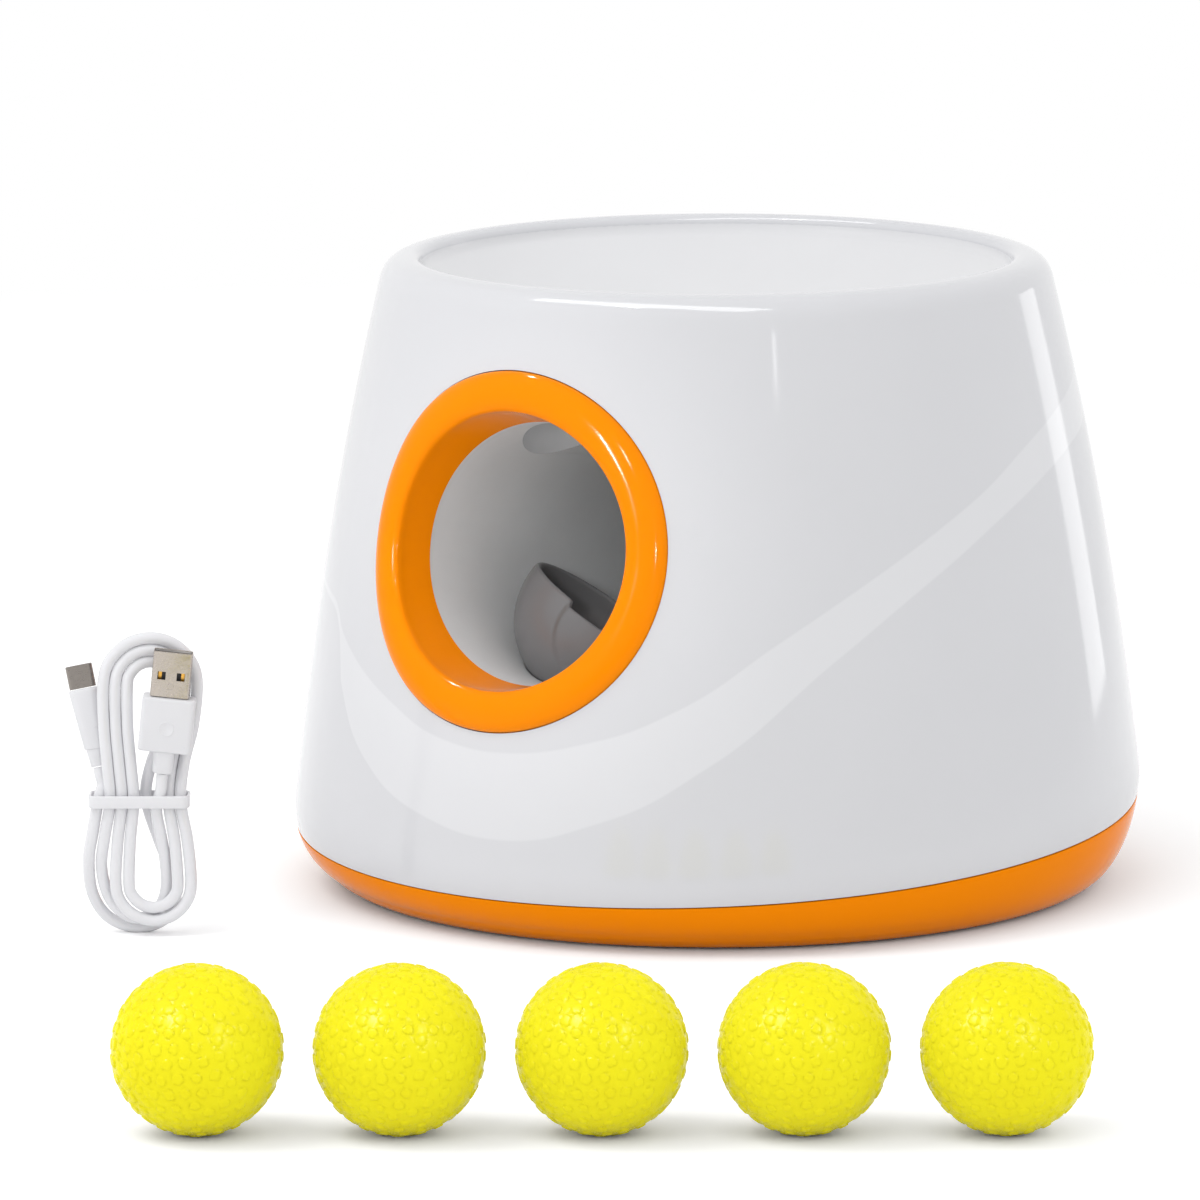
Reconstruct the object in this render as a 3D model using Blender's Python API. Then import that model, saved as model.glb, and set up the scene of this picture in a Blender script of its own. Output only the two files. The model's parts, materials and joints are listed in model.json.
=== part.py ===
"""Automatic ball launcher for dogs, with its five balls and its charging cable.

Row frame: the origin is on the launcher's axis at the floor, +Z is up, and the launch port faces -Y.
The launch frame hangs at the centre of the port: its Y runs inward along the sloping barrel, its Z
square to the barrel, and its X across it. The panel frame does the same at the rear wall.
"""

import math

import bmesh
import bpy
from mathutils import Matrix, Vector

MM = 0.001

# Fits
GAP = 0.3 * MM
RUN = 5.0 * MM
STEP = 1.0 * MM

# Ball, and what it passes through
BALL_RADIUS = 24.0 * MM
CUP_ROOM = 0.8 * MM
CUP_WALL = 2.2 * MM
CUP_RADIUS = BALL_RADIUS + CUP_ROOM + CUP_WALL
DROP_ROOM = 3.0 * MM
DROP_RADIUS = BALL_RADIUS + DROP_ROOM
DROP_Y = -60.0 * MM
COLLAR_WALL = 2.0 * MM
BARREL_ROOM = 16.6 * MM
BARREL_RADIUS = BALL_RADIUS + BARREL_ROOM
BARREL_WALL = 2.2 * MM
BARREL_FLANGE = 3.4 * MM
BARREL_FLANGE_LENGTH = 3.0 * MM
BARREL_TAIL = 2.9 * MM
BARREL_STEPS = 32

# Port ring: its radii grow outward from the barrel
LAUNCH_SLOPE = math.radians(10.0)
RING_DEPTH = 20.6 * MM
RING_CREST = 3.4 * MM
RING_BORE_FLARE = 2.2 * MM
RING_BORE_RADIUS = BARREL_RADIUS + RING_BORE_FLARE
RING_INNER_BEAD = 6.2 * MM
RING_CREST_RADIUS = RING_BORE_RADIUS + RING_INNER_BEAD
RING_OUTER_BEAD = 6.3 * MM
RING_RADIUS = RING_CREST_RADIUS + RING_OUTER_BEAD
RING_FLANGE = 5.0 * MM
RING_FLANGE_WALL = 2.0 * MM
RING_BEAD_SHARES = ((0.3, 0.72), (1.0, 1.0))
RING_BORE_SHARES = ((0.5, 0.8), (0.9, 0.1))
RING_THROAT_SHARE = 0.8
RING_STEPS = 36

# Launch cup and its travel
CUP_DEPTH = 59.5 * MM
CUP_SINK = 6.3 * MM
CUP_DROP = BARREL_RADIUS - CUP_RADIUS + CUP_SINK
CUP_RIM_NORMAL = Vector((0.474, 0.305, 0.826))
CUP_RIM_LIFT = 4.3 * MM
CUP_NOTCH_DROP = 2.2 * MM
CUP_NOTCH_TURN = math.radians(-11.6)
CUP_STEM_RADIUS = 7.0 * MM
CUP_STEPS = 20
TRAVEL = 36.0 * MM

# Launch carriage, rods and spring
ROD_RADIUS = 2.5 * MM
ROD_SPACING = 28.0 * MM
CARRIAGE_SIDE = 12.0 * MM
CARRIAGE_WIDTH = ROD_SPACING + CARRIAGE_SIDE
CARRIAGE_LENGTH = 30.0 * MM
CARRIAGE_HEIGHT = 18.0 * MM
ROD_SINK = 11.5 * MM
ROD_DROP = CUP_DROP + CUP_RADIUS + 2 * GAP + ROD_SINK
SPRING_ROD_RADIUS = 2.0 * MM
SPRING_RADIUS = 6.2 * MM
SPRING_WIRE = 0.8 * MM
SPRING_ROOM = 26.5 * MM
SPRING_TURNS = 7
SPRING_STEPS = 8

# Mechanism frame
FRAME_SET_BACK = 4.1 * MM
FRAME_START = RING_DEPTH + GAP + BARREL_FLANGE_LENGTH + FRAME_SET_BACK
FRAME_WALL = 3.0 * MM
FRAME_LENGTH = CUP_DEPTH + CARRIAGE_LENGTH / 2 + TRAVEL + SPRING_ROOM - FRAME_START
FRAME_SIDE_ROOM = 14.0 * MM
FRAME_WIDTH = CARRIAGE_WIDTH + 2 * FRAME_SIDE_ROOM
FRAME_FLOOR_ROOM = 15.0 * MM
FRAME_FLOOR_DROP = ROD_DROP + FRAME_FLOOR_ROOM
FRAME_FOOT_RADIUS = 5.0 * MM
FRAME_STAND = 19.33 * MM
EAR_X = FRAME_WIDTH / 2 + 2 * STEP
EAR_WALL = 3.0 * MM
BARREL_LENGTH = FRAME_START + FRAME_LENGTH + BARREL_TAIL - RING_DEPTH - GAP

# Gear train, outward from the frame
RACK_MODULE = 1.5 * MM
SECTOR_FULL_TEETH = 22
SECTOR_TEETH = 9
RACK_TEETH = 9
RACK_ROOM = 7.0 * MM
RACK_X = EAR_X + EAR_WALL + RACK_ROOM
TOOTH_ADDENDUM_SHARE = 0.8
TOOTH_DEDENDUM_SHARE = 1.15
TOOTH_WIDTH_SHARES = (0.34, 0.13)
GEAR_FACE = 6.0 * MM
RACK_PITCH_DROP = ROD_DROP - STEP
RACK_BODY = 3.5 * MM
SECTOR_REACH = 44.5 * MM
SECTOR_DEPTH = CUP_DEPTH + SECTOR_REACH
TRAIN_MODULE = 1.25 * MM
WHEEL_TEETH = 28
PINION_TEETH = 9
TRAIN_FACE = 5.0 * MM
TRAIN_ROOM = 4.0 * MM
TRAIN_X = RACK_X + GEAR_FACE + TRAIN_ROOM
BIG_X = TRAIN_X + TRAIN_FACE + 2 * STEP
IDLER_ANGLE = math.radians(-12.0)
MOTOR_ANGLE = math.radians(15.0)
SHAFT_RADIUS = 3.0 * MM
AXLE_RADIUS = 2.0 * MM
BUSH_WALL = 1.8 * MM
BUSH_FLANGE = 1.2 * MM
PLATE_ROOM = 1.5 * MM
PLATE_X = BIG_X + TRAIN_FACE + PLATE_ROOM
PLATE_WALL = 3.0 * MM
PLATE_MARGIN = 18.1 * MM
PLATE_HALF_LENGTH = 44.0 * MM
PLATE_FOOT = 12.0 * MM
MOTOR_RADIUS = 13.0 * MM
MOTOR_LENGTH = 32.0 * MM
MOTOR_NOSE = 4.5 * MM
MOTOR_SHAFT = 1.2 * MM
MOTOR_END_X = PLATE_X + PLATE_WALL + GAP + MOTOR_LENGTH + 2 * STEP

# Base, and heights upward from its floor
TRAY_LIFT = 0.8 * MM
TRAY_FLOOR = 4.0 * MM
TONGUE_HEIGHT = 5.0 * MM
TONGUE_WALL = 1.8 * MM
PORT_HEIGHT = (
    TRAY_LIFT
    + TRAY_FLOOR
    + FRAME_STAND
    + FRAME_FLOOR_DROP * math.cos(LAUNCH_SLOPE)
    + (FRAME_START + FRAME_LENGTH) * math.sin(LAUNCH_SLOPE)
)
COLLAR_RISE = 1.6 * MM
DROP_HEIGHT = PORT_HEIGHT + BARREL_RADIUS + COLLAR_RISE
HOPPER_DEPTH = 36.3 * MM

# Casing: its radii shrink inward from the widest place, which clears the motor
CASE_ROOM = 27.2 * MM
BODY_RADIUS = MOTOR_END_X + CASE_ROOM
BODY_RADIUS_HEIGHT = 31.9 * MM
BASE_FILLET = 21.1 * MM
FLOOR_RADIUS = BODY_RADIUS - BASE_FILLET
WALL_TAPER = 28.1 * MM
WALL_TOP_RADIUS = BODY_RADIUS - WALL_TAPER
WALL_FOOT_TAPER_SHARE = 0.108
LIP_INSET = 9.9 * MM
CREST_RADIUS = WALL_TOP_RADIUS - LIP_INSET
LIP_EDGE = 3.1 * MM
MOUTH_RADIUS = CREST_RADIUS - LIP_EDGE
CREST_HEIGHT = DROP_HEIGHT + HOPPER_DEPTH
LIP_RISE = 7.3 * MM
WALL_TOP_HEIGHT = CREST_HEIGHT - LIP_RISE
MOUTH_DROP = 2.9 * MM
LIP_UNDERSIDE = 3.7 * MM
WALL = 2.6 * MM
SEAM_HEIGHT = 23.85 * MM
SEAM_SLOPE_SHARE = 0.068
SEAM_GAP = 0.4 * MM
TILT_START = TRAY_LIFT + TRAY_FLOOR + SEAM_GAP
TURN_STEPS = 48
SMALL_STEPS = 14

# Hopper
FUNNEL_WALL = 2.0 * MM
FUNNEL_FLANGE = 5.0 * MM
FUNNEL_RADIUS = MOUTH_RADIUS + LIP_UNDERSIDE - MOUTH_DROP
FLANGE_ROOM = 0.8 * MM
LIP_SHELF_RADIUS = FUNNEL_RADIUS + FUNNEL_FLANGE + FLANGE_ROOM
FUNNEL_RINGS = 6

# Pad and screws
PAD_MARGIN = 12.9 * MM
PAD_RADIUS = FLOOR_RADIUS - PAD_MARGIN
PAD_THICKNESS = 2.2 * MM
PAD_RECESS_GAP = 0.4 * MM
SCREW_MARGIN = 10.0 * MM
SCREW_CIRCLE = PAD_RADIUS + SCREW_MARGIN
SCREW_HEAD_RADIUS = 3.4 * MM
SCREW_HEAD_HEIGHT = 2.4 * MM
SCREW_CROWN_SHARE = 0.8
SCREW_RADIUS = 1.7 * MM
SCREW_LENGTH = 20.0 * MM
SCREW_SINK = 2.2 * MM
BOSS_RADIUS = 4.6 * MM
BOSS_FOOT = 8.0 * MM
BOSS_TOP = 52.0 * MM
BOSS_FIN = 2.4 * MM
SCREW_ANGLES = [math.radians(angle) for angle in (45, 135, 225, 315)]

# Battery
CELL_RADIUS = 9.2 * MM
CELL_LENGTH = 65.0 * MM
CELL_ROOM = 2.1 * MM
CELL_SPACING = 2 * CELL_RADIUS + CELL_ROOM
HOLDER_WALL = 2.0 * MM
HOLDER_ROOM = 22.25 * MM
HOLDER_HALF_WIDTH = CELL_SPACING / 2 + CELL_RADIUS + HOLDER_WALL + GAP
HOLDER_X = -FRAME_WIDTH / 2 - HOLDER_ROOM - HOLDER_HALF_WIDTH
HOLDER_Y = 5.0 * MM

# Rear panel
PANEL_HEIGHT = 78.0 * MM
PANEL_WIDTH = 62.0 * MM
PANEL_TALL = 34.0 * MM
PANEL_CORNER = 8.0 * MM
PANEL_SINK = 0.8 * MM
PANEL_BACK = 8.4 * MM
PANEL_FLANGE = 4.0 * MM
PANEL_FLANGE_WALL = 2.0 * MM
BUTTON_INSET = 12.0 * MM
BUTTON_X = PANEL_WIDTH / 2 - BUTTON_INSET
BUTTON_Z = 3.0 * MM
BUTTON_RADIUS = 5.8 * MM
BUTTON_PROUD = 1.6 * MM
BUTTON_TRAVEL = 1.2 * MM
BUTTON_CAP = 5.0 * MM
BUTTON_STEM_RADIUS = 2.0 * MM
BOARD_ROOM = 4.6 * MM
BOARD_DEPTH = PANEL_BACK + PANEL_FLANGE_WALL + BOARD_ROOM
BOARD_WALL = 1.6 * MM
SWITCH_SIDE = 6.0 * MM
LENS_RADIUS = 1.5 * MM
LENS_CROWN_SHARE = 0.7
LENS_SPACING = 6.0 * MM
LENS_Z = 8.0 * MM
INLET_Z = -9.0 * MM
INLET_WIDTH = 9.0 * MM
INLET_TALL = 3.2 * MM
INLET_CORNER_SHARE = 0.49
INLET_WALL = 0.5 * MM
INLET_LENGTH = 12.0 * MM

# Sensor, switch, buzzer and leads
SENSOR_DROP = 11.0 * MM
SENSOR_HEIGHT = DROP_HEIGHT - SENSOR_DROP
SENSOR_SIDE = 5.0 * MM
SENSOR_BEAM_RADIUS = 1.6 * MM
SWITCH_ROOM = 1.5 * MM
SWITCH_X = ROD_SPACING / 2 + ROD_RADIUS + STEP
SWITCH_DEPTH = CUP_DEPTH + CARRIAGE_LENGTH / 2 + TRAVEL + SWITCH_ROOM
SWITCH_WIDTH = 7.5 * MM
SWITCH_LENGTH = 14.0 * MM
SWITCH_HEIGHT = 13.0 * MM
BUZZER_RADIUS = 11.0 * MM
BUZZER_HEIGHT = 7.0 * MM
BUZZER_ROOM = 28.9 * MM
BUZZER_Y = FLOOR_RADIUS - BUZZER_ROOM
LEAD_RADIUS = 1.1 * MM
LEAD_STEPS = 15

# Balls beside the launcher
BALL_ROW_X = 177.0 * MM
BALL_ROW_Y = -326.0 * MM
BALL_APART = 8.6 * MM
BALL_PITCH = 2 * BALL_RADIUS + BALL_APART
ROW_TURN = math.radians(33.5)
BALL_COUNT = 5

# Charging cable: it stands in a plane that faces the viewer. Its points are (across, up, forward).
CABLE_FOOT_X = -98.3 * MM
CABLE_FOOT_Y = -177.9 * MM
CABLE_FOOT_Z = -0.35 * MM
CABLE_RADIUS = 1.45 * MM
CABLE_STEPS = 96
CABLE_BEND_REACH = 15.0 * MM
LOOP_CENTRE_TOP = (6.2, 79.1)
LOOP_CENTRE_LOW = (6.6, 17.0)
LOOP_RADII = (6.9, 10.6, 14.3)
LOW_RADII = (7.5, 11.6)
WAIST_HEIGHT = 43.0
WAIST_LEFT = (-10.1, -6.4, -2.8, 0.8)
WAIST_RIGHT = (7.8, 11.5, 15.2)
LAYER_FRONT = 1.8
LAYER_BACK = -1.8
LAYER_REAR = -5.4
LAYER_BEHIND = -2.0
PLUG_A_POINT = (9.9, 52.2, 3.8)
PLUG_C_POINT = (-10.0, 53.2, -1.6)
PLUG_A_AXIS = Vector((0.104, 0.98, 0.06)).normalized()
PLUG_C_AXIS = Vector((-0.197, 0.98, -0.14)).normalized()
TIE_HEIGHT = 3.9 * MM
TIE_WALL = 0.9 * MM

# Plugs: each moulding's sections are shares of its length, half width and half thickness
PLUG_CORNER_SHARE = 0.6
PLUG_SHELL_WALL = 0.4 * MM
PLUG_A_LENGTH = 24.0 * MM
PLUG_A_WIDTH = 16.4 * MM
PLUG_A_THICKNESS = 7.4 * MM
PLUG_A_SHELL_LENGTH = 14.2 * MM
PLUG_A_SHELL_WIDTH = 12.0 * MM
PLUG_A_SHELL_THICKNESS = 4.5 * MM
PLUG_A_SECTION_SHARES = (
    (0, 0.337, 0.615),
    (0.285, 0.38, 0.667),
    (0.292, 0.94, 0.82),
    (0.33, 1, 1),
    (0.968, 1, 1),
    (1, 0.93, 0.846),
)
PLUG_C_LENGTH = 24.2 * MM
PLUG_C_WIDTH = 9.2 * MM
PLUG_C_THICKNESS = 6.0 * MM
PLUG_C_SHELL_LENGTH = 7.2 * MM
PLUG_C_SHELL_WIDTH = 8.3 * MM
PLUG_C_SHELL_THICKNESS = 2.6 * MM
PLUG_C_SECTION_SHARES = (
    (0, 0.535, 0.7),
    (0.233, 0.628, 0.8),
    (0.254, 0.744, 0.9),
    (0.975, 1, 1),
    (1, 0.93, 0.9),
)


def material(name, color, roughness, metallic=0.0):
    made = bpy.data.materials.new(name)
    made.use_nodes = True
    shader = made.node_tree.nodes["Principled BSDF"]
    shader.inputs["Base Color"].default_value = (*color, 1.0)
    shader.inputs["Roughness"].default_value = roughness
    shader.inputs["Metallic"].default_value = metallic
    made.diffuse_color = (*color, 1.0)
    return made


def add(name, mesh, finish=None, parent=None, place=(0, 0, 0), smooth=True):
    obj = bpy.data.objects.new(name, mesh)
    bpy.context.scene.collection.objects.link(obj)
    obj.location = place
    obj.parent = parent
    if finish:
        mesh.materials.append(finish)
    if smooth:
        mesh.shade_smooth()
        mesh.set_sharp_from_angle(angle=math.radians(35))
    return obj


def empty(name, matrix, parent=None):
    made = bpy.data.objects.new(name, None)
    bpy.context.scene.collection.objects.link(made)
    made.parent = parent
    made.matrix_local = matrix
    return made


def boolean(target, tool, operation="DIFFERENCE"):
    tool.hide_render = True
    tool.display_type = "WIRE"
    step = target.modifiers.new(tool.name, "BOOLEAN")
    step.operation = operation
    step.object = tool


def finished(bm, name):
    bmesh.ops.recalc_face_normals(bm, faces=bm.faces)
    mesh = bpy.data.meshes.new(name)
    bm.to_mesh(mesh)
    bm.free()
    return mesh


def turned_mesh(outline, steps, closed=True):
    """A profile of (radius, height) points turned round Z. An open profile starts and ends on the axis."""
    bm = bmesh.new()
    rings = []
    for radius, height in outline:
        if radius == 0:
            rings.append([bm.verts.new((0, 0, height))])
            continue
        angles = [2 * math.pi * step / steps for step in range(steps)]
        rings.append([bm.verts.new((radius * math.cos(a), radius * math.sin(a), height)) for a in angles])
    pairs = list(zip(rings, rings[1:]))
    if closed:
        pairs.append((rings[-1], rings[0]))
    for low, high in pairs:
        for step in range(steps):
            after = (step + 1) % steps
            places = ((low, step), (low, after), (high, after), (high, step))
            corners = [ring[at % len(ring)] for ring, at in places]
            bm.faces.new(list(dict.fromkeys(corners)))
    return finished(bm, "turned")


def rod_mesh(radius, start, end, steps=24):
    return turned_mesh([(0, start), (radius, start), (radius, end), (0, end)], steps, closed=False)


def tube_mesh(inner, outer, start, end, steps=32):
    return turned_mesh([(inner, start), (outer, start), (outer, end), (inner, end)], steps)


def prism_mesh(outline, start, end):
    """An outline of (x, y) points extruded along Z."""
    bm = bmesh.new()
    low = [bm.verts.new((x, y, start)) for x, y in outline]
    high = [bm.verts.new((x, y, end)) for x, y in outline]
    bm.faces.new(low)
    bm.faces.new(high)
    for index, (a, b) in enumerate(zip(low, high)):
        after = (index + 1) % len(low)
        bm.faces.new((a, low[after], high[after], b))
    return finished(bm, "prism")


def box_mesh(low, high, bevel=0.0):
    bm = bmesh.new()
    bmesh.ops.create_cube(bm, size=1)
    for vert in bm.verts:
        shares = [0.5 + value for value in vert.co]
        vert.co = [a + (b - a) * share for a, b, share in zip(low, high, shares)]
    if bevel:
        bmesh.ops.bevel(bm, geom=bm.edges[:], offset=bevel, segments=1, affect="EDGES")
    return finished(bm, "box")


def rounded_outline(width, tall, corner, steps=5):
    points = []
    for quarter in range(4):
        side = (1 if quarter in (0, 3) else -1, 1 if quarter in (0, 1) else -1)
        centre = (side[0] * (width / 2 - corner), side[1] * (tall / 2 - corner))
        for step in range(steps + 1):
            angle = (quarter + step / steps) * math.pi / 2
            points.append((centre[0] + corner * math.cos(angle), centre[1] + corner * math.sin(angle)))
    return points


def aimed(mesh, direction):
    """The mesh with its Z turned to the direction, X or Y."""
    turns = {"X": Matrix.Rotation(math.pi / 2, 4, "Y"), "Y": Matrix.Rotation(-math.pi / 2, 4, "X")}
    mesh.transform(turns[direction])
    return mesh


def lerp(a, b, share):
    return a + (b - a) * share


# Casing profile

WALL_SPAN = WALL_TOP_HEIGHT - BODY_RADIUS_HEIGHT
WALL_BOW_SHARE = (BODY_RADIUS - WALL_TOP_RADIUS) / WALL_SPAN - WALL_FOOT_TAPER_SHARE


def profile_radius(height):
    """Outer radius of the casing before its seam is tilted."""
    if height < BODY_RADIUS_HEIGHT:
        share = 1 - height / BODY_RADIUS_HEIGHT
        return lerp(FLOOR_RADIUS, BODY_RADIUS, math.sqrt(max(0.0, 1 - share * share)))
    rise = height - BODY_RADIUS_HEIGHT
    bow = WALL_BOW_SHARE * rise / WALL_SPAN
    return BODY_RADIUS - rise * (WALL_FOOT_TAPER_SHARE + bow)


def tilt(mesh):
    """Dips the seam towards the port and raises it at the back, fading out at the floor and the crest."""
    for vert in mesh.vertices:
        height = vert.co.z
        if height < SEAM_HEIGHT:
            share = max(0.0, (height - TILT_START) / (SEAM_HEIGHT - TILT_START))
        else:
            share = max(0.0, (CREST_HEIGHT - height) / (CREST_HEIGHT - SEAM_HEIGHT))
        vert.co.z += share * SEAM_SLOPE_SHARE * vert.co.y
    return mesh


def surface_radius(y, height):
    """Outer radius of the tilted wall above the seam, at this height and this distance behind the axis."""
    span = CREST_HEIGHT - SEAM_HEIGHT
    lift = SEAM_SLOPE_SHARE * y
    return profile_radius((height - lift * CREST_HEIGHT / span) / (1 - lift / span))


def wall_y(height, side):
    """Where the wall crosses X = 0 at this height, on the front side (-1) or the back side (1)."""
    y = side * BODY_RADIUS
    for _ in range(12):
        y = side * surface_radius(y, height)
    return y


def wall_slope(height, side):
    run = wall_y(height + STEP, side) - wall_y(height - STEP, side)
    return math.atan2(abs(run), 2 * STEP)


PORT_PLACE = (0, wall_y(PORT_HEIGHT, -1), PORT_HEIGHT)
LAUNCH = Matrix.Translation(PORT_PLACE) @ Matrix.Rotation(-LAUNCH_SLOPE, 4, "X")
PANEL = (
    Matrix.Translation((0, wall_y(PANEL_HEIGHT, 1), PANEL_HEIGHT))
    @ Matrix.Rotation(math.pi, 4, "Z")
    @ Matrix.Rotation(-wall_slope(PANEL_HEIGHT, 1), 4, "X")
)


def surface_depth(x, z, inward=0.0):
    """How deep the outer surface lies in the launch frame, at this place beside the port's axis."""
    depth = 0.0
    for _ in range(12):
        point = LAUNCH @ Vector((x, depth, z))
        depth += math.hypot(point.x, point.y) - surface_radius(point.y, point.z) + inward
    return depth


def port_point(radius, angle):
    """A point of a circle drawn on the curved wall round the port, as X and Z of the launch frame."""
    bend = abs(LAUNCH.translation.y)
    return bend * math.sin(radius * math.cos(angle) / bend), radius * math.sin(angle)


# Scene and finishes

for old in list(bpy.data.objects):
    bpy.data.objects.remove(old, do_unlink=True)

WHITE = material("white_shell", (0.80, 0.80, 0.82), 0.2)
ORANGE = material("orange_trim", (1.0, 0.26, 0.01), 0.3)
GREY = material("grey_barrel", (0.60, 0.60, 0.61), 0.4)
DARK_GREY = material("dark_grey_cup", (0.27, 0.27, 0.275), 0.4)
FRAME_BLACK = material("frame_black", (0.03, 0.03, 0.032), 0.5)
GEAR_WHITE = material("gear_acetal", (0.75, 0.74, 0.70), 0.4)
STEEL = material("steel", (0.60, 0.60, 0.62), 0.3, 1.0)
BRASS = material("bush_bronze", (0.60, 0.40, 0.18), 0.35, 1.0)
RUBBER = material("rubber_pad", (0.04, 0.04, 0.04), 0.85)
BOARD = material("board_green", (0.02, 0.16, 0.07), 0.5)
CELL = material("cell_wrap", (0.05, 0.20, 0.45), 0.4)
LENS = material("lens_clear", (0.75, 0.85, 0.80), 0.15)
FOAM = material("foam_ball", (0.95, 0.88, 0.02), 0.6)
CABLE = material("cable_white", (0.82, 0.82, 0.83), 0.35)

launch_frame = empty("launch_frame", LAUNCH)
panel_frame = empty("panel_frame", PANEL)


# Casings


def shell_outline():
    outer = [(profile_radius(SEAM_HEIGHT + SEAM_GAP / 2), SEAM_HEIGHT + SEAM_GAP / 2)]
    wall_rows = 5
    for row in range(wall_rows):
        height = lerp(BODY_RADIUS_HEIGHT, WALL_TOP_HEIGHT, row / (wall_rows - 1))
        outer.append((profile_radius(height), height))
    slope = (profile_radius(WALL_TOP_HEIGHT) - profile_radius(WALL_TOP_HEIGHT - STEP)) / STEP
    bend = (WALL_TOP_RADIUS + slope * (CREST_HEIGHT - WALL_TOP_HEIGHT), CREST_HEIGHT)
    lip_rows = 4
    for row in range(1, lip_rows + 1):
        share = row / lip_rows
        first = [lerp(a, b, share) for a, b in zip(outer[wall_rows], bend)]
        second = [lerp(a, b, share) for a, b in zip(bend, (CREST_RADIUS, CREST_HEIGHT))]
        outer.append(tuple(lerp(a, b, share) for a, b in zip(first, second)))
    edge = CREST_RADIUS - MOUTH_RADIUS
    for angle in (45, 90):
        turn = math.radians(angle)
        drop = MOUTH_DROP * (1 - math.cos(turn))
        outer.append((CREST_RADIUS - edge * math.sin(turn), CREST_HEIGHT - drop))
    underside = CREST_HEIGHT - LIP_UNDERSIDE
    inner = [(FUNNEL_RADIUS, underside), (LIP_SHELF_RADIUS, underside)]
    for row in range(wall_rows - 1, -1, -1):
        height = lerp(BODY_RADIUS_HEIGHT, WALL_TOP_HEIGHT - WALL / 2, row / (wall_rows - 1))
        inner.append((profile_radius(height) - WALL, height))
    inner.append((outer[0][0] - WALL, outer[0][1]))
    return outer + inner


def boss_mesh():
    return rod_mesh(BOSS_RADIUS, BOSS_FOOT, BOSS_TOP, 12)


def make_shell():
    shell = add("outer_shell", tilt(turned_mesh(shell_outline(), TURN_STEPS)), WHITE)
    for index, angle in enumerate(SCREW_ANGLES):
        place = Vector((SCREW_CIRCLE * math.cos(angle), SCREW_CIRCLE * math.sin(angle), 0))
        boss = add(f"boss_tool_{index}", boss_mesh(), place=place)
        foot = SEAM_HEIGHT + TONGUE_HEIGHT + BODY_RADIUS * SEAM_SLOPE_SHARE + GAP
        top = BOSS_TOP - STEP
        reaches = [surface_radius(place.y, height) - WALL / 2 - SCREW_CIRCLE for height in (foot, top)]
        corners = [(0, foot), (reaches[0], foot), (reaches[1], top), (0, top)]
        fin_mesh = prism_mesh(corners, -BOSS_FIN / 2, BOSS_FIN / 2)
        fin_mesh.transform(Matrix.Rotation(math.pi / 2, 4, "X"))
        fin = add(f"fin_tool_{index}", fin_mesh, place=place)
        fin.rotation_euler.z = angle
        pilot_mesh = rod_mesh(SCREW_RADIUS + GAP, BOSS_FOOT - RUN, SCREW_LENGTH + SCREW_SINK + RUN, 8)
        pilot = add(f"pilot_tool_{index}", pilot_mesh, place=place)
        boolean(shell, boss, "UNION")
        boolean(shell, fin, "UNION")
        boolean(shell, pilot)
    count = RING_STEPS
    outline = [port_point(RING_RADIUS + GAP, 2 * math.pi * step / count) for step in range(count)]
    hole = prism_mesh(outline, -8 * RUN, 3 * RUN)
    hole.transform(Matrix.Rotation(math.pi / 2, 4, "X"))
    boolean(shell, add("port_tool", hole, parent=launch_frame))
    window = aimed_panel_block(PANEL_WIDTH + 2 * GAP, PANEL_TALL + 2 * GAP, -2 * RUN, PANEL_BACK + RUN)
    boolean(shell, add("panel_tool", window, parent=panel_frame))
    return shell


def aimed_panel_block(width, tall, start, end):
    """A rounded block whose depth runs along Y."""
    mesh = prism_mesh(rounded_outline(width, tall, PANEL_CORNER), -end, -start)
    mesh.transform(Matrix.Rotation(math.pi / 2, 4, "X"))
    return mesh


def tray_outline():
    rim = SEAM_HEIGHT - SEAM_GAP / 2
    start = TRAY_LIFT
    rows = 5
    outer = []
    for row in range(rows + 1):
        turn = math.pi / 2 * row / rows
        height = lerp(start, rim, 1 - math.cos(turn))
        outer.append((profile_radius(height), height))
    inner_rim = outer[-1][0] - WALL - GAP
    tongue_top = rim + TONGUE_HEIGHT
    inner = [(inner_rim, rim), (inner_rim, tongue_top), (inner_rim - TONGUE_WALL, tongue_top)]
    floor_top = TRAY_LIFT + TRAY_FLOOR
    for row in range(rows - 2, 0, -1):
        height = lerp(start, rim, 1 - math.cos(math.pi / 2 * row / rows))
        radius = profile_radius(height) - WALL - GAP - TONGUE_WALL
        inner.append((radius, max(floor_top, height + WALL)))
    inner = [point for point in inner if point[1] > floor_top]
    inner += [(FLOOR_RADIUS - WALL, floor_top), (0, floor_top)]
    recess = PAD_THICKNESS + GAP
    foot = [(0, recess), (PAD_RADIUS + PAD_RECESS_GAP, recess), (PAD_RADIUS + PAD_RECESS_GAP, start)]
    return foot + outer + inner


def make_tray():
    tray = add("base_tray", tilt(turned_mesh(tray_outline(), TURN_STEPS, closed=False)), ORANGE)
    floor_top = TRAY_LIFT + TRAY_FLOOR
    for index, angle in enumerate(SCREW_ANGLES):
        place = Vector((SCREW_CIRCLE * math.cos(angle), SCREW_CIRCLE * math.sin(angle), 0))
        column_mesh = rod_mesh(BOSS_RADIUS, TRAY_LIFT + TRAY_FLOOR / 2, BOSS_FOOT - GAP, 12)
        column = add(f"column_tool_{index}", column_mesh, place=place)
        head_mesh = rod_mesh(SCREW_HEAD_RADIUS + GAP, -RUN, SCREW_SINK + SCREW_HEAD_HEIGHT, 12)
        head = add(f"head_tool_{index}", head_mesh, place=place)
        shank = add(f"shank_tool_{index}", rod_mesh(SCREW_RADIUS + GAP, 0, floor_top + RUN, 8), place=place)
        boolean(tray, column, "UNION")
        boolean(tray, head)
        boolean(tray, shank)
    return tray


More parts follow.
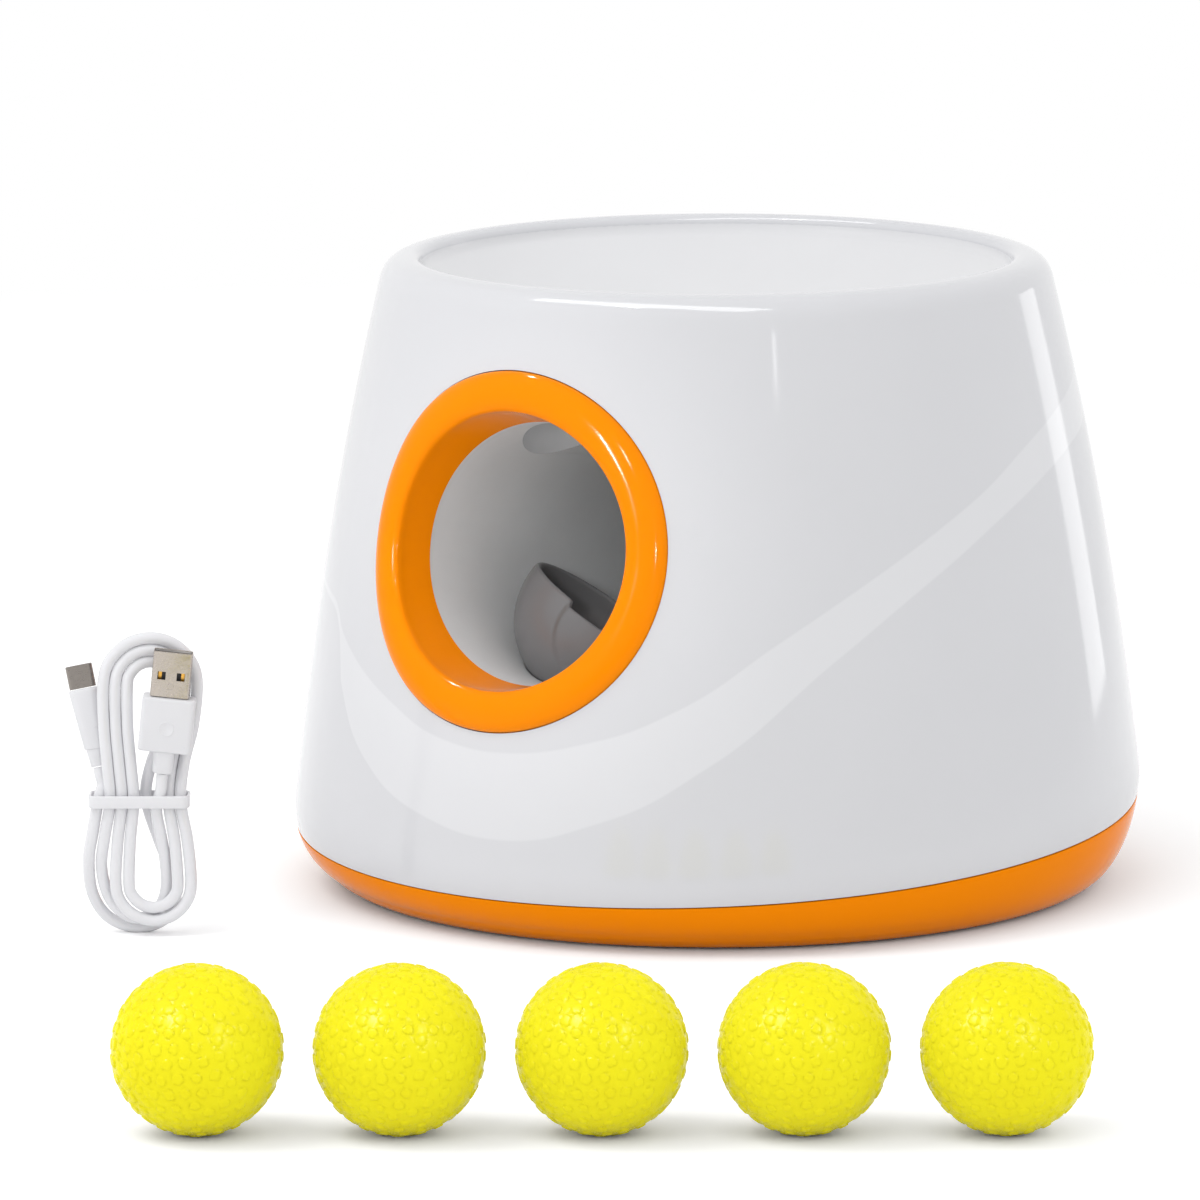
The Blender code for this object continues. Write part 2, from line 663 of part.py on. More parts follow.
def make_pad():
    bevel = PAD_THICKNESS / 4
    outline = [
        (0, 0),
        (PAD_RADIUS - bevel, 0),
        (PAD_RADIUS, bevel),
        (PAD_RADIUS, PAD_THICKNESS),
        (0, PAD_THICKNESS),
    ]
    add("foot_pad", turned_mesh(outline, TURN_STEPS, closed=False), RUBBER)


def make_case_screws():
    head_top = SCREW_SINK + SCREW_HEAD_HEIGHT - GAP
    shank_top = SCREW_SINK + SCREW_LENGTH
    outline = [
        (0, SCREW_SINK),
        (SCREW_HEAD_RADIUS * SCREW_CROWN_SHARE, SCREW_SINK),
        (SCREW_HEAD_RADIUS, SCREW_SINK + SCREW_HEAD_HEIGHT / 3),
        (SCREW_HEAD_RADIUS, head_top),
        (SCREW_RADIUS, head_top),
        (SCREW_RADIUS, shank_top),
        (0, shank_top),
    ]
    for index, angle in enumerate(SCREW_ANGLES):
        place = (SCREW_CIRCLE * math.cos(angle), SCREW_CIRCLE * math.sin(angle), 0)
        screw = add(f"case_screw_{index + 1}", turned_mesh(outline, 12, closed=False), STEEL, place=place)
        socket = rod_mesh(SCREW_RADIUS, SCREW_SINK - STEP, SCREW_SINK + SCREW_HEAD_HEIGHT / 2, 6)
        boolean(screw, add(f"socket_tool_{index}", socket, place=place))


def make_funnel():
    """A bowl that slides forward as it narrows, with a flange under the casing's lip."""
    top = CREST_HEIGHT - LIP_UNDERSIDE - GAP
    rim = FUNNEL_RADIUS
    steps = BARREL_STEPS
    rings = []
    for row in range(FUNNEL_RINGS):
        share = row / (FUNNEL_RINGS - 1)
        ease = share * share * (3 - 2 * share)
        height = lerp(top, DROP_HEIGHT, math.sin(share * math.pi / 2))
        rings.append((lerp(rim, DROP_RADIUS, share), lerp(0, DROP_Y, ease), height))
    rings.append((DROP_RADIUS, DROP_Y, DROP_HEIGHT - FUNNEL_WALL - STEP))
    outer = [(radius + FUNNEL_WALL, y, height - FUNNEL_WALL / 2) for radius, y, height in rings[1:-1]]
    outer.append((DROP_RADIUS + FUNNEL_WALL, DROP_Y, DROP_HEIGHT - FUNNEL_WALL - STEP))
    flange = [
        (rim + FUNNEL_FLANGE, 0, top),
        (rim + FUNNEL_FLANGE, 0, top - FUNNEL_WALL),
        (rim + FUNNEL_WALL, 0, top - FUNNEL_WALL),
    ]
    loop = rings + outer[::-1] + flange[::-1]
    bm = bmesh.new()
    circles = []
    for radius, y, height in loop:
        angles = [2 * math.pi * step / steps for step in range(steps)]
        places = [(radius * math.cos(angle), y + radius * math.sin(angle), height) for angle in angles]
        circles.append([bm.verts.new(place) for place in places])
    for low, high in zip(circles, circles[1:] + circles[:1]):
        for step in range(steps):
            after = (step + 1) % steps
            bm.faces.new((low[step], low[after], high[after], high[step]))
    add("hopper_funnel", finished(bm, "funnel"), WHITE)


def make_port_ring():
    """A rounded ring that follows the curved wall, with a bore running in to the barrel."""
    back = WALL + 2 * GAP
    rows = [(RING_RADIUS, back, None), (RING_RADIUS, 0, None)]
    for run, rise in RING_BEAD_SHARES:
        rows.append((RING_RADIUS - RING_OUTER_BEAD * run, -RING_CREST * rise, None))
    for run, rise in RING_BORE_SHARES:
        rows.append((RING_CREST_RADIUS - RING_INNER_BEAD * run, -RING_CREST * rise, None))
    rows += [
        (RING_BORE_RADIUS, RING_CREST * RING_THROAT_SHARE, None),
        (BARREL_RADIUS, None, RING_DEPTH),
        (BARREL_RADIUS + BARREL_FLANGE, None, RING_DEPTH),
        (BARREL_RADIUS + BARREL_FLANGE, back + RING_FLANGE_WALL, None),
        (RING_RADIUS + RING_FLANGE, back + RING_FLANGE_WALL, None),
        (RING_RADIUS + RING_FLANGE, back, None),
    ]
    bm = bmesh.new()
    circles = []
    for radius, offset, depth in rows:
        circle = []
        for step in range(RING_STEPS):
            x, z = port_point(radius, 2 * math.pi * step / RING_STEPS)
            slant = math.sqrt(1 - (x / LAUNCH.translation.y) ** 2)
            y = surface_depth(x, z) + offset / slant if depth is None else depth
            circle.append(bm.verts.new((x, y, z)))
        circles.append(circle)
    for low, high in zip(circles, circles[1:] + circles[:1]):
        for step in range(RING_STEPS):
            after = (step + 1) % RING_STEPS
            bm.faces.new((low[step], low[after], high[after], high[step]))
    add("port_ring", finished(bm, "ring"), ORANGE, parent=launch_frame)


# Barrel


def make_barrel():
    start = RING_DEPTH + GAP
    end = start + BARREL_LENGTH
    outer = BARREL_RADIUS + BARREL_WALL
    outline = [
        (0, start),
        (BARREL_RADIUS + BARREL_FLANGE, start),
        (BARREL_RADIUS + BARREL_FLANGE, start + BARREL_FLANGE_LENGTH),
        (outer, start + BARREL_FLANGE_LENGTH + STEP),
        (outer, end),
        (0, end),
    ]
    body = aimed(turned_mesh(outline, BARREL_STEPS, closed=False), "Y")
    barrel = add("launch_barrel", body, GREY, parent=launch_frame)
    top = DROP_HEIGHT - FUNNEL_WALL - STEP - GAP
    place = (0, DROP_Y, 0)
    collar_mesh = rod_mesh(DROP_RADIUS + COLLAR_WALL, PORT_HEIGHT, top, BARREL_STEPS)
    collar = add("collar_tool", collar_mesh, place=place)
    boolean(barrel, collar, "UNION")
    bore = aimed(rod_mesh(BARREL_RADIUS, start - RUN, end + RUN, BARREL_STEPS), "Y")
    boolean(barrel, add("bore_tool", bore, parent=launch_frame))
    inlet_mesh = rod_mesh(DROP_RADIUS, PORT_HEIGHT, top + RUN, BARREL_STEPS)
    boolean(barrel, add("inlet_tool", inlet_mesh, place=place))
    half = slot_half_width()
    slot = rod_mesh(half, -BARREL_RADIUS - RUN, 0, BARREL_STEPS)
    for vert in slot.vertices:
        if vert.co.y > 0:
            vert.co.y += TRAVEL + GAP
    boolean(barrel, add("slot_tool", slot, parent=launch_frame, place=(0, CUP_DEPTH, -BARREL_RADIUS / 3)))


def slot_half_width():
    """Half the width at which the cup's ball shape passes through the barrel's floor, with its clearance."""
    radius = CUP_RADIUS + GAP
    outer = BARREL_RADIUS
    drop = (outer * outer - radius * radius + CUP_DROP * CUP_DROP) / (2 * CUP_DROP)
    return math.sqrt(outer * outer - drop * drop) + 2 * GAP


# Launch cup and carriage


def make_launch_cup(slide):
    """A ball-shaped scoop, cut by a slanting rim that steps down at the front."""
    centre = Vector((0, CUP_DEPTH, -CUP_DROP))
    turns = [2 * math.pi * row / CUP_STEPS for row in range(1, CUP_STEPS // 2)]
    sides = [(CUP_RADIUS * math.sin(turn), -CUP_RADIUS * math.cos(turn)) for turn in turns]
    outer = [(0, -CUP_RADIUS)] + sides + [(0, CUP_RADIUS)]
    cup = add("launch_cup", turned_mesh(outer, CUP_STEPS, closed=False), DARK_GREY, slide, centre)
    stem_end = -CUP_DROP - CUP_RADIUS - GAP
    stem_mesh = rod_mesh(CUP_STEM_RADIUS, stem_end, -CUP_DROP - CUP_RADIUS + CUP_WALL, 20)
    stem = add("stem_tool", stem_mesh, parent=slide, place=(0, CUP_DEPTH, 0))
    boolean(cup, stem, "UNION")
    shrink = (CUP_RADIUS - CUP_WALL) / CUP_RADIUS
    inner = [(radius * shrink, height * shrink) for radius, height in outer]
    hollow = add("hollow_tool", turned_mesh(inner, CUP_STEPS, closed=False), parent=slide, place=centre)
    boolean(cup, hollow)
    world_turn = LAUNCH.to_3x3().inverted()
    normal = (world_turn @ CUP_RIM_NORMAL).normalized()
    lid = box_mesh((-2 * CUP_RADIUS, -2 * CUP_RADIUS, 0), (2 * CUP_RADIUS, 2 * CUP_RADIUS, 2 * CUP_RADIUS))
    turn = normal.to_track_quat("Z", "Y").to_matrix().to_4x4()
    lid.transform(Matrix.Translation(normal * CUP_RIM_LIFT) @ turn)
    boolean(cup, add("rim_tool", lid, parent=slide, place=centre))
    notch = box_mesh((-2 * CUP_RADIUS, -2 * CUP_RADIUS, -CUP_NOTCH_DROP), (0, 0, 2 * CUP_RADIUS))
    round_turn = Matrix.Rotation(CUP_NOTCH_TURN, 4, "Z")
    notch.transform(Matrix.Translation(normal * CUP_RIM_LIFT) @ turn @ round_turn)
    boolean(cup, add("notch_tool", notch, parent=slide, place=centre))


def make_carriage(slide):
    top = -CUP_DROP - CUP_RADIUS - 2 * GAP
    low = top - CARRIAGE_HEIGHT
    half = CARRIAGE_WIDTH / 2
    start = CUP_DEPTH - CARRIAGE_LENGTH / 2
    end = start + CARRIAGE_LENGTH
    block = box_mesh((-half, start, low), (half, end, top), STEP)
    carriage = add("cup_carriage", block, FRAME_BLACK, slide)
    rack_foot = -RACK_PITCH_DROP - RACK_MODULE - RACK_BODY - GAP
    arm_reach = RACK_X + GEAR_FACE
    arm_start = (half - RUN, end - CARRIAGE_LENGTH / 2, rack_foot - FRAME_WALL)
    arm = box_mesh(arm_start, (arm_reach, end, rack_foot))
    boolean(carriage, add("arm_tool", arm, parent=slide), "UNION")
    for x in (-ROD_SPACING / 2, ROD_SPACING / 2):
        hole = aimed(rod_mesh(ROD_RADIUS + GAP, start - RUN, end + RUN, SMALL_STEPS), "Y")
        boolean(carriage, add("rod_hole_tool", hole, parent=slide, place=(x, 0, -ROD_DROP)))
    middle = aimed(rod_mesh(SPRING_ROD_RADIUS + STEP, start - RUN, end + RUN, SMALL_STEPS), "Y")
    boolean(carriage, add("middle_hole_tool", middle, parent=slide, place=(0, 0, -ROD_DROP)))


def tooth_flank(module):
    """A tooth's corners from root to tip: how far each is outside the pitch line, and half the width."""
    heights = (-TOOTH_DEDENDUM_SHARE * module, TOOTH_ADDENDUM_SHARE * module)
    return [(height, share * math.pi * module) for height, share in zip(heights, TOOTH_WIDTH_SHARES)]


def gear_outline(teeth, module, count=None):
    """Teeth round a pitch circle, the first on +X. A sector keeps only the first teeth."""
    pitch_radius = module * teeth / 2
    flank = tooth_flank(module)
    corners = [(height, -half) for height, half in flank]
    corners += [(height, half) for height, half in reversed(flank)]
    points = []
    for tooth in range(teeth):
        centre = 2 * math.pi * tooth / teeth
        kept = corners if count is None or tooth < count else [(flank[0][0], 0)]
        for height, half in kept:
            radius = pitch_radius + height
            turn = centre + half / pitch_radius
            points.append((radius * math.cos(turn), radius * math.sin(turn)))
    return points


def gear_mesh(teeth, module, start, end, turn, count=None):
    """A gear about X, from start to end, whose first tooth points down and is then turned about X."""
    mesh = aimed(prism_mesh(gear_outline(teeth, module, count), start, end), "X")
    mesh.transform(Matrix.Rotation(turn, 4, "X"))
    return mesh


def bore_gear(wheel, radius, start, end, pivot):
    hole = aimed(rod_mesh(radius, start - RUN, end + RUN, SMALL_STEPS), "X")
    boolean(wheel, add(wheel.name + "_bore_tool", hole, parent=pivot))


def make_rack(slide):
    pitch = math.pi * RACK_MODULE
    flank = tooth_flank(RACK_MODULE)
    root = flank[0][0] - RACK_PITCH_DROP
    base = -RACK_PITCH_DROP - RACK_MODULE - RACK_BODY
    front = CUP_DEPTH
    back = SECTOR_DEPTH + pitch
    outline = [(front, base), (back, base)]
    for tooth in range(RACK_TEETH):
        centre = back - pitch * (tooth + 0.5)
        for height, half in flank:
            outline.append((centre + half, height - RACK_PITCH_DROP))
        for height, half in reversed(flank):
            outline.append((centre - half, height - RACK_PITCH_DROP))
    outline.append((front, root))
    mesh = prism_mesh(outline, RACK_X, RACK_X + GEAR_FACE)
    mesh.transform(Matrix(((0, 0, 1, 0), (1, 0, 0, 0), (0, 1, 0, 0), (0, 0, 0, 1))))
    add("drive_rack", mesh, GEAR_WHITE, slide)


def centre_distance(first, second):
    return TRAIN_MODULE * (first + second) / 2


SECTOR_RADIUS = RACK_MODULE * SECTOR_FULL_TEETH / 2
SECTOR_PLACE = Vector((0, SECTOR_DEPTH, -RACK_PITCH_DROP + SECTOR_RADIUS))
TRAIN_REACH = centre_distance(WHEEL_TEETH, PINION_TEETH)
IDLER_PLACE = SECTOR_PLACE + TRAIN_REACH * Vector((0, math.cos(IDLER_ANGLE), math.sin(IDLER_ANGLE)))
MOTOR_PLACE = IDLER_PLACE + TRAIN_REACH * Vector((0, math.cos(MOTOR_ANGLE), math.sin(MOTOR_ANGLE)))


# Mechanism frame


def make_frame():
    half = FRAME_WIDTH / 2
    low = -FRAME_FLOOR_DROP
    end = FRAME_START + FRAME_LENGTH
    saddle = -BARREL_RADIUS
    floor = box_mesh((-half, FRAME_START, low), (half, end, low + FRAME_WALL))
    frame = add("mechanism_frame", floor, FRAME_BLACK, launch_frame, smooth=False)
    pieces = {
        "front_wall": ((-half, FRAME_START, low), (half, FRAME_START + FRAME_WALL, saddle)),
        "rear_wall": ((-half, end - FRAME_WALL, low), (EAR_X + EAR_WALL, end, saddle)),
        "bearing_ear": (
            (EAR_X, SECTOR_DEPTH - 3 * SHAFT_RADIUS, SECTOR_PLACE.z - 3 * SHAFT_RADIUS),
            (EAR_X + EAR_WALL, end, SECTOR_PLACE.z + 3 * SHAFT_RADIUS),
        ),
    }
    for name, (corner, far) in pieces.items():
        boolean(frame, add(name + "_tool", box_mesh(corner, far), parent=launch_frame), "UNION")
    floor_top = TRAY_LIFT + TRAY_FLOOR + GAP
    for x in (-half + FRAME_FOOT_RADIUS, half - FRAME_FOOT_RADIUS):
        for depth in (FRAME_START + FRAME_FOOT_RADIUS, end - FRAME_FOOT_RADIUS):
            top = LAUNCH @ Vector((x, depth, low + FRAME_WALL / 2))
            foot_mesh = rod_mesh(FRAME_FOOT_RADIUS, floor_top, top.z, 12)
            foot = add("foot_tool", foot_mesh, place=(top.x, top.y, 0))
            boolean(frame, foot, "UNION")
    barrel = aimed(rod_mesh(BARREL_RADIUS + BARREL_WALL + GAP, 0, end + RUN, BARREL_STEPS), "Y")
    boolean(frame, add("saddle_tool", barrel, parent=launch_frame))
    for x in (-ROD_SPACING / 2, 0, ROD_SPACING / 2):
        radius = SPRING_ROD_RADIUS if x == 0 else ROD_RADIUS
        first = end - RUN if x == 0 else 0
        hole = aimed(rod_mesh(radius + GAP, first, end + RUN, SMALL_STEPS), "Y")
        boolean(frame, add("frame_hole_tool", hole, parent=launch_frame, place=(x, 0, -ROD_DROP)))
    bush_seat = SHAFT_RADIUS + 2 * GAP + BUSH_WALL
    for place, radius in ((SECTOR_PLACE, bush_seat), (IDLER_PLACE, AXLE_RADIUS + GAP)):
        hole = aimed(rod_mesh(radius, EAR_X - RUN, EAR_X + EAR_WALL + RUN, SMALL_STEPS), "X")
        boolean(frame, add("ear_hole_tool", hole, parent=launch_frame, place=place))


def make_rods():
    end = FRAME_START + FRAME_LENGTH
    for side, name in ((-1, "guide_rod_left"), (1, "guide_rod_right")):
        rod = aimed(rod_mesh(ROD_RADIUS, FRAME_START, end, SMALL_STEPS), "Y")
        add(name, rod, STEEL, launch_frame, (side * ROD_SPACING / 2, 0, -ROD_DROP))
    rod = aimed(rod_mesh(SPRING_ROD_RADIUS, CUP_DEPTH + CARRIAGE_LENGTH / 4, end, SMALL_STEPS), "Y")
    add("spring_rod", rod, STEEL, launch_frame, (0, 0, -ROD_DROP))


def tube_along(name, points, radius, finish, parent=None, place=(0, 0, 0), resolution=1):
    curve = bpy.data.curves.new(name, "CURVE")
    curve.dimensions = "3D"
    curve.bevel_depth = radius
    curve.bevel_resolution = resolution
    curve.use_fill_caps = True
    spline = curve.splines.new("POLY")
    spline.points.add(len(points) - 1)
    for target, point in zip(spline.points, points):
        target.co = (*point, 1.0)
    curve.materials.append(finish)
    made = bpy.data.objects.new(name, curve)
    bpy.context.scene.collection.objects.link(made)
    made.parent = parent
    made.location = place
    return made


def make_launch_spring():
    start = CUP_DEPTH + CARRIAGE_LENGTH / 2 + GAP + SPRING_WIRE
    end = FRAME_START + FRAME_LENGTH - FRAME_WALL - GAP - SPRING_WIRE
    count = SPRING_TURNS * SPRING_STEPS
    points = []
    for index in range(count + 1):
        angle = 2 * math.pi * index / SPRING_STEPS
        depth = lerp(start, end, index / count)
        points.append((SPRING_RADIUS * math.cos(angle), depth, SPRING_RADIUS * math.sin(angle)))
    tube_along("launch_spring", points, SPRING_WIRE, STEEL, launch_frame, (0, 0, -ROD_DROP))


# Gear train


def make_gears(sector_pivot, idler_pivot, motor_pivot):
    shaft_bore = SHAFT_RADIUS + GAP
    rack_end = RACK_X + GEAR_FACE
    train_end = TRAIN_X + TRAIN_FACE
    big_end = BIG_X + TRAIN_FACE
    lead = -2 * math.pi * (SECTOR_TEETH - 1) / SECTOR_FULL_TEETH
    sector_mesh = gear_mesh(SECTOR_FULL_TEETH, RACK_MODULE, RACK_X, rack_end, lead, SECTOR_TEETH)
    sector = add("sector_gear", sector_mesh, GEAR_WHITE, sector_pivot)
    bore_gear(sector, shaft_bore, RACK_X, rack_end, sector_pivot)
    quarter = math.pi / 2
    wheel_turn = quarter + IDLER_ANGLE
    wheel_mesh = gear_mesh(WHEEL_TEETH, TRAIN_MODULE, TRAIN_X, train_end, wheel_turn)
    wheel = add("drive_wheel", wheel_mesh, GEAR_WHITE, sector_pivot)
    bore_gear(wheel, shaft_bore, TRAIN_X, train_end, sector_pivot)
    shaft = aimed(rod_mesh(SHAFT_RADIUS, EAR_X - STEP, PLATE_X + PLATE_WALL + STEP, SMALL_STEPS), "X")
    add("sector_shaft", shaft, STEEL, sector_pivot)
    big_turn = quarter + MOTOR_ANGLE
    idler_mesh = gear_mesh(WHEEL_TEETH, TRAIN_MODULE, BIG_X, big_end, big_turn)
    idler = add("idler_gear", idler_mesh, GEAR_WHITE, idler_pivot)
    small_turn = IDLER_ANGLE - quarter + math.pi / PINION_TEETH
    small = gear_mesh(PINION_TEETH, TRAIN_MODULE, TRAIN_X - GAP, BIG_X + STEP, small_turn)
    boolean(idler, add("idler_pinion_tool", small, parent=idler_pivot), "UNION")
    bore_gear(idler, AXLE_RADIUS + GAP, TRAIN_X, big_end, idler_pivot)
    motor_turn = MOTOR_ANGLE - quarter + math.pi / PINION_TEETH
    pinion_mesh = gear_mesh(PINION_TEETH, TRAIN_MODULE, BIG_X, big_end, motor_turn)
    pinion = add("motor_pinion", pinion_mesh, BRASS, motor_pivot)
    bore_gear(pinion, MOTOR_SHAFT + GAP, BIG_X, big_end, motor_pivot)
    axle = aimed(rod_mesh(AXLE_RADIUS, EAR_X, PLATE_X + PLATE_WALL, SMALL_STEPS), "X")
    add("idler_axle", axle, STEEL, launch_frame, IDLER_PLACE)


def make_bushes():
    inner = SHAFT_RADIUS + GAP
    outer = inner + BUSH_WALL
    for name, back, face, side in (
        ("sector_bush_inner", EAR_X, EAR_X + EAR_WALL, 1),
        ("sector_bush_outer", PLATE_X + PLATE_WALL, PLATE_X, -1),
    ):
        inside = face + side * GAP
        tip = inside + side * BUSH_FLANGE
        outline = [
            (inner, back),
            (outer, back),
            (outer, inside),
            (outer + BUSH_FLANGE, inside),
            (outer + BUSH_FLANGE, tip),
            (inner, tip),
        ]
        add(name, aimed(turned_mesh(outline, SMALL_STEPS), "X"), BRASS, launch_frame, SECTOR_PLACE)


def make_gearbox_plate():
    """The outer bearing plate, which stands on the tray floor and carries the motor."""
    floor_top = TRAY_LIFT + TRAY_FLOOR + GAP
    half = PLATE_HALF_LENGTH
    top = (LAUNCH @ SECTOR_PLACE).z + PLATE_MARGIN
    wall = box_mesh((PLATE_X, -half, floor_top), (PLATE_X + PLATE_WALL, half, top))
    plate = add("gearbox_plate", wall, FRAME_BLACK, smooth=False)
    foot_mesh = box_mesh((PLATE_X, -half, floor_top), (PLATE_X + PLATE_FOOT, half, floor_top + PLATE_WALL))
    boolean(plate, add("plate_foot_tool", foot_mesh), "UNION")
    holes = (
        (SECTOR_PLACE, SHAFT_RADIUS + 2 * GAP + BUSH_WALL),
        (IDLER_PLACE, AXLE_RADIUS + GAP),
        (MOTOR_PLACE, MOTOR_NOSE + GAP),
    )
    for place, radius in holes:
        hole = aimed(rod_mesh(radius, PLATE_X - RUN, PLATE_X + PLATE_WALL + RUN, SMALL_STEPS), "X")
        boolean(plate, add("plate_hole_tool", hole, parent=launch_frame, place=place))


def make_motor():
    """A can motor: its nose sits in the gearbox plate and its shaft carries the pinion."""
    face = PLATE_X + PLATE_WALL + GAP
    bevel = STEP
    outline = [
        (0, BIG_X + GAP),
        (MOTOR_SHAFT, BIG_X + GAP),
        (MOTOR_SHAFT, PLATE_X),
        (MOTOR_NOSE, PLATE_X),
        (MOTOR_NOSE, face),
        (MOTOR_RADIUS - bevel, face),
        (MOTOR_RADIUS, face + bevel),
        (MOTOR_RADIUS, face + MOTOR_LENGTH - bevel),
        (MOTOR_RADIUS - bevel, face + MOTOR_LENGTH),
        (MOTOR_NOSE, face + MOTOR_LENGTH),
        (MOTOR_NOSE, face + MOTOR_LENGTH + 2 * STEP),
        (0, face + MOTOR_LENGTH + 2 * STEP),
    ]
    add("drive_motor", aimed(turned_mesh(outline, 20, closed=False), "X"), STEEL, launch_frame, MOTOR_PLACE)


# Battery and board


def make_battery():
    floor_top = TRAY_LIFT + TRAY_FLOOR + GAP
    half_length = CELL_LENGTH / 2 + HOLDER_WALL + STEP
    axis = floor_top + HOLDER_WALL + CELL_RADIUS + GAP
    low = (HOLDER_X - HOLDER_HALF_WIDTH, HOLDER_Y - half_length, floor_top)
    high = (HOLDER_X + HOLDER_HALF_WIDTH, HOLDER_Y + half_length, axis + CELL_RADIUS / 3)
    holder = add("battery_holder", box_mesh(low, high), FRAME_BLACK, smooth=False)
    for index, side in enumerate((-1, 1)):
        x = HOLDER_X + side * CELL_SPACING / 2
        reach = CELL_LENGTH / 2
        pocket = aimed(rod_mesh(CELL_RADIUS + GAP, -reach - STEP / 2, reach + STEP / 2, 32), "Y")
        boolean(holder, add(f"pocket_tool_{index}", pocket, place=(x, HOLDER_Y, axis)))
        bevel = STEP
        outline = [
            (0, -reach),
            (CELL_RADIUS - bevel, -reach),
            (CELL_RADIUS, bevel - reach),
            (CELL_RADIUS, reach - bevel),
            (CELL_RADIUS - bevel, reach),
            (0, reach),
        ]
        cell = aimed(turned_mesh(outline, 24, closed=False), "Y")
        add(f"battery_cell_{index + 1}", cell, CELL, place=(x, HOLDER_Y, axis))


def make_panel():
    """The control panel follows the curved wall, a little below its surface."""
    block = aimed_panel_block(PANEL_WIDTH, PANEL_TALL, -RUN, PANEL_BACK)
    panel = add("control_panel", block, DARK_GREY, panel_frame)
    rows = 4
    outline = [(0, SEAM_HEIGHT + RUN)]
    for row in range(rows):
        height = lerp(BODY_RADIUS_HEIGHT, WALL_TOP_HEIGHT, row / (rows - 1))
        outline.append((profile_radius(height) - PANEL_SINK, height))
    outline.append((0, WALL_TOP_HEIGHT + RUN))
    boolean(panel, add("wall_tool", tilt(turned_mesh(outline, TURN_STEPS, closed=False))), "INTERSECT")
    wide = PANEL_WIDTH + 2 * PANEL_FLANGE
    tall = PANEL_TALL + 2 * PANEL_FLANGE
    flange = aimed_panel_block(wide, tall, PANEL_BACK - GAP, PANEL_BACK + PANEL_FLANGE_WALL)
    boolean(panel, add("flange_tool", flange, parent=panel_frame), "UNION")
    back = PANEL_BACK + PANEL_FLANGE_WALL
    for x in (-1, 1):
        for z in (-1, 1):
            post = aimed(rod_mesh(2 * STEP, back - STEP, BOARD_DEPTH - GAP, 12), "Y")
            place = (x * (PANEL_WIDTH / 2 - 2 * STEP), 0, z * (PANEL_TALL / 2 - 2 * STEP))
            boolean(panel, add("post_tool", post, parent=panel_frame, place=place), "UNION")
    for x in (-BUTTON_X, BUTTON_X):
        hole = aimed(rod_mesh(BUTTON_RADIUS + GAP, -RUN, 3 * RUN), "Y")
        boolean(panel, add("button_hole_tool", hole, parent=panel_frame, place=(x, 0, BUTTON_Z)))
    for index in (-1, 0, 1):
        hole = aimed(rod_mesh(LENS_RADIUS + GAP, -RUN, 3 * RUN, 12), "Y")
        place = (index * LENS_SPACING, 0, LENS_Z)
        boolean(panel, add("lens_hole_tool", hole, parent=panel_frame, place=place))
    width = INLET_WIDTH + 2 * GAP
    tall = INLET_TALL + 2 * GAP
    slot = prism_mesh(rounded_outline(width, tall, tall * INLET_CORNER_SHARE), -3 * RUN, RUN)
    slot.transform(Matrix.Rotation(math.pi / 2, 4, "X"))
    boolean(panel, add("inlet_hole_tool", slot, parent=panel_frame, place=(0, 0, INLET_Z)))


def make_buttons(power_pivot, distance_pivot):
    stem_end = BOARD_DEPTH - SWITCH_SIDE / 2 - BUTTON_TRAVEL - GAP
    outline = [
        (0, PANEL_SINK - BUTTON_PROUD),
        (BUTTON_RADIUS - STEP, PANEL_SINK - BUTTON_PROUD),
        (BUTTON_RADIUS, PANEL_SINK - BUTTON_PROUD + STEP),
        (BUTTON_RADIUS, PANEL_SINK - BUTTON_PROUD + BUTTON_CAP),
        (BUTTON_STEM_RADIUS, PANEL_SINK - BUTTON_PROUD + BUTTON_CAP),
        (BUTTON_STEM_RADIUS, stem_end),
        (0, stem_end),
    ]
    for name, pivot in (("power_button", power_pivot), ("distance_button", distance_pivot)):
        add(name, aimed(turned_mesh(outline, 24, closed=False), "Y"), ORANGE, pivot)


def make_board():
    start = BOARD_DEPTH
    half = (PANEL_WIDTH / 2, PANEL_TALL / 2)
    card = box_mesh((-half[0], start, -half[1]), (half[0], start + BOARD_WALL, half[1]))
    board = add("control_board", card, BOARD, panel_frame, smooth=False)
    side = SWITCH_SIDE / 2
    for x in (-BUTTON_X, BUTTON_X):
        switch = box_mesh((x - side, start - side, BUTTON_Z - side), (x + side, start + GAP, BUTTON_Z + side))
        boolean(board, add("switch_tool", switch, parent=panel_frame), "UNION")
    back = start + BOARD_WALL
    chip = box_mesh((-SWITCH_SIDE, back - GAP, -SWITCH_SIDE), (SWITCH_SIDE, back + BOARD_WALL, SWITCH_SIDE))
    boolean(board, add("chip_tool", chip, parent=panel_frame), "UNION")


def make_lenses():
    end = BOARD_DEPTH - GAP
    outline = [
        (0, PANEL_SINK - GAP),
        (LENS_RADIUS * LENS_CROWN_SHARE, PANEL_SINK - GAP),
        (LENS_RADIUS, PANEL_SINK + GAP),
        (LENS_RADIUS, end),
        (0, end),
    ]
    for index in (-1, 0, 1):
        lens = aimed(turned_mesh(outline, 12, closed=False), "Y")
        add(f"status_lens_{index + 2}", lens, LENS, panel_frame, (index * LENS_SPACING, 0, LENS_Z))


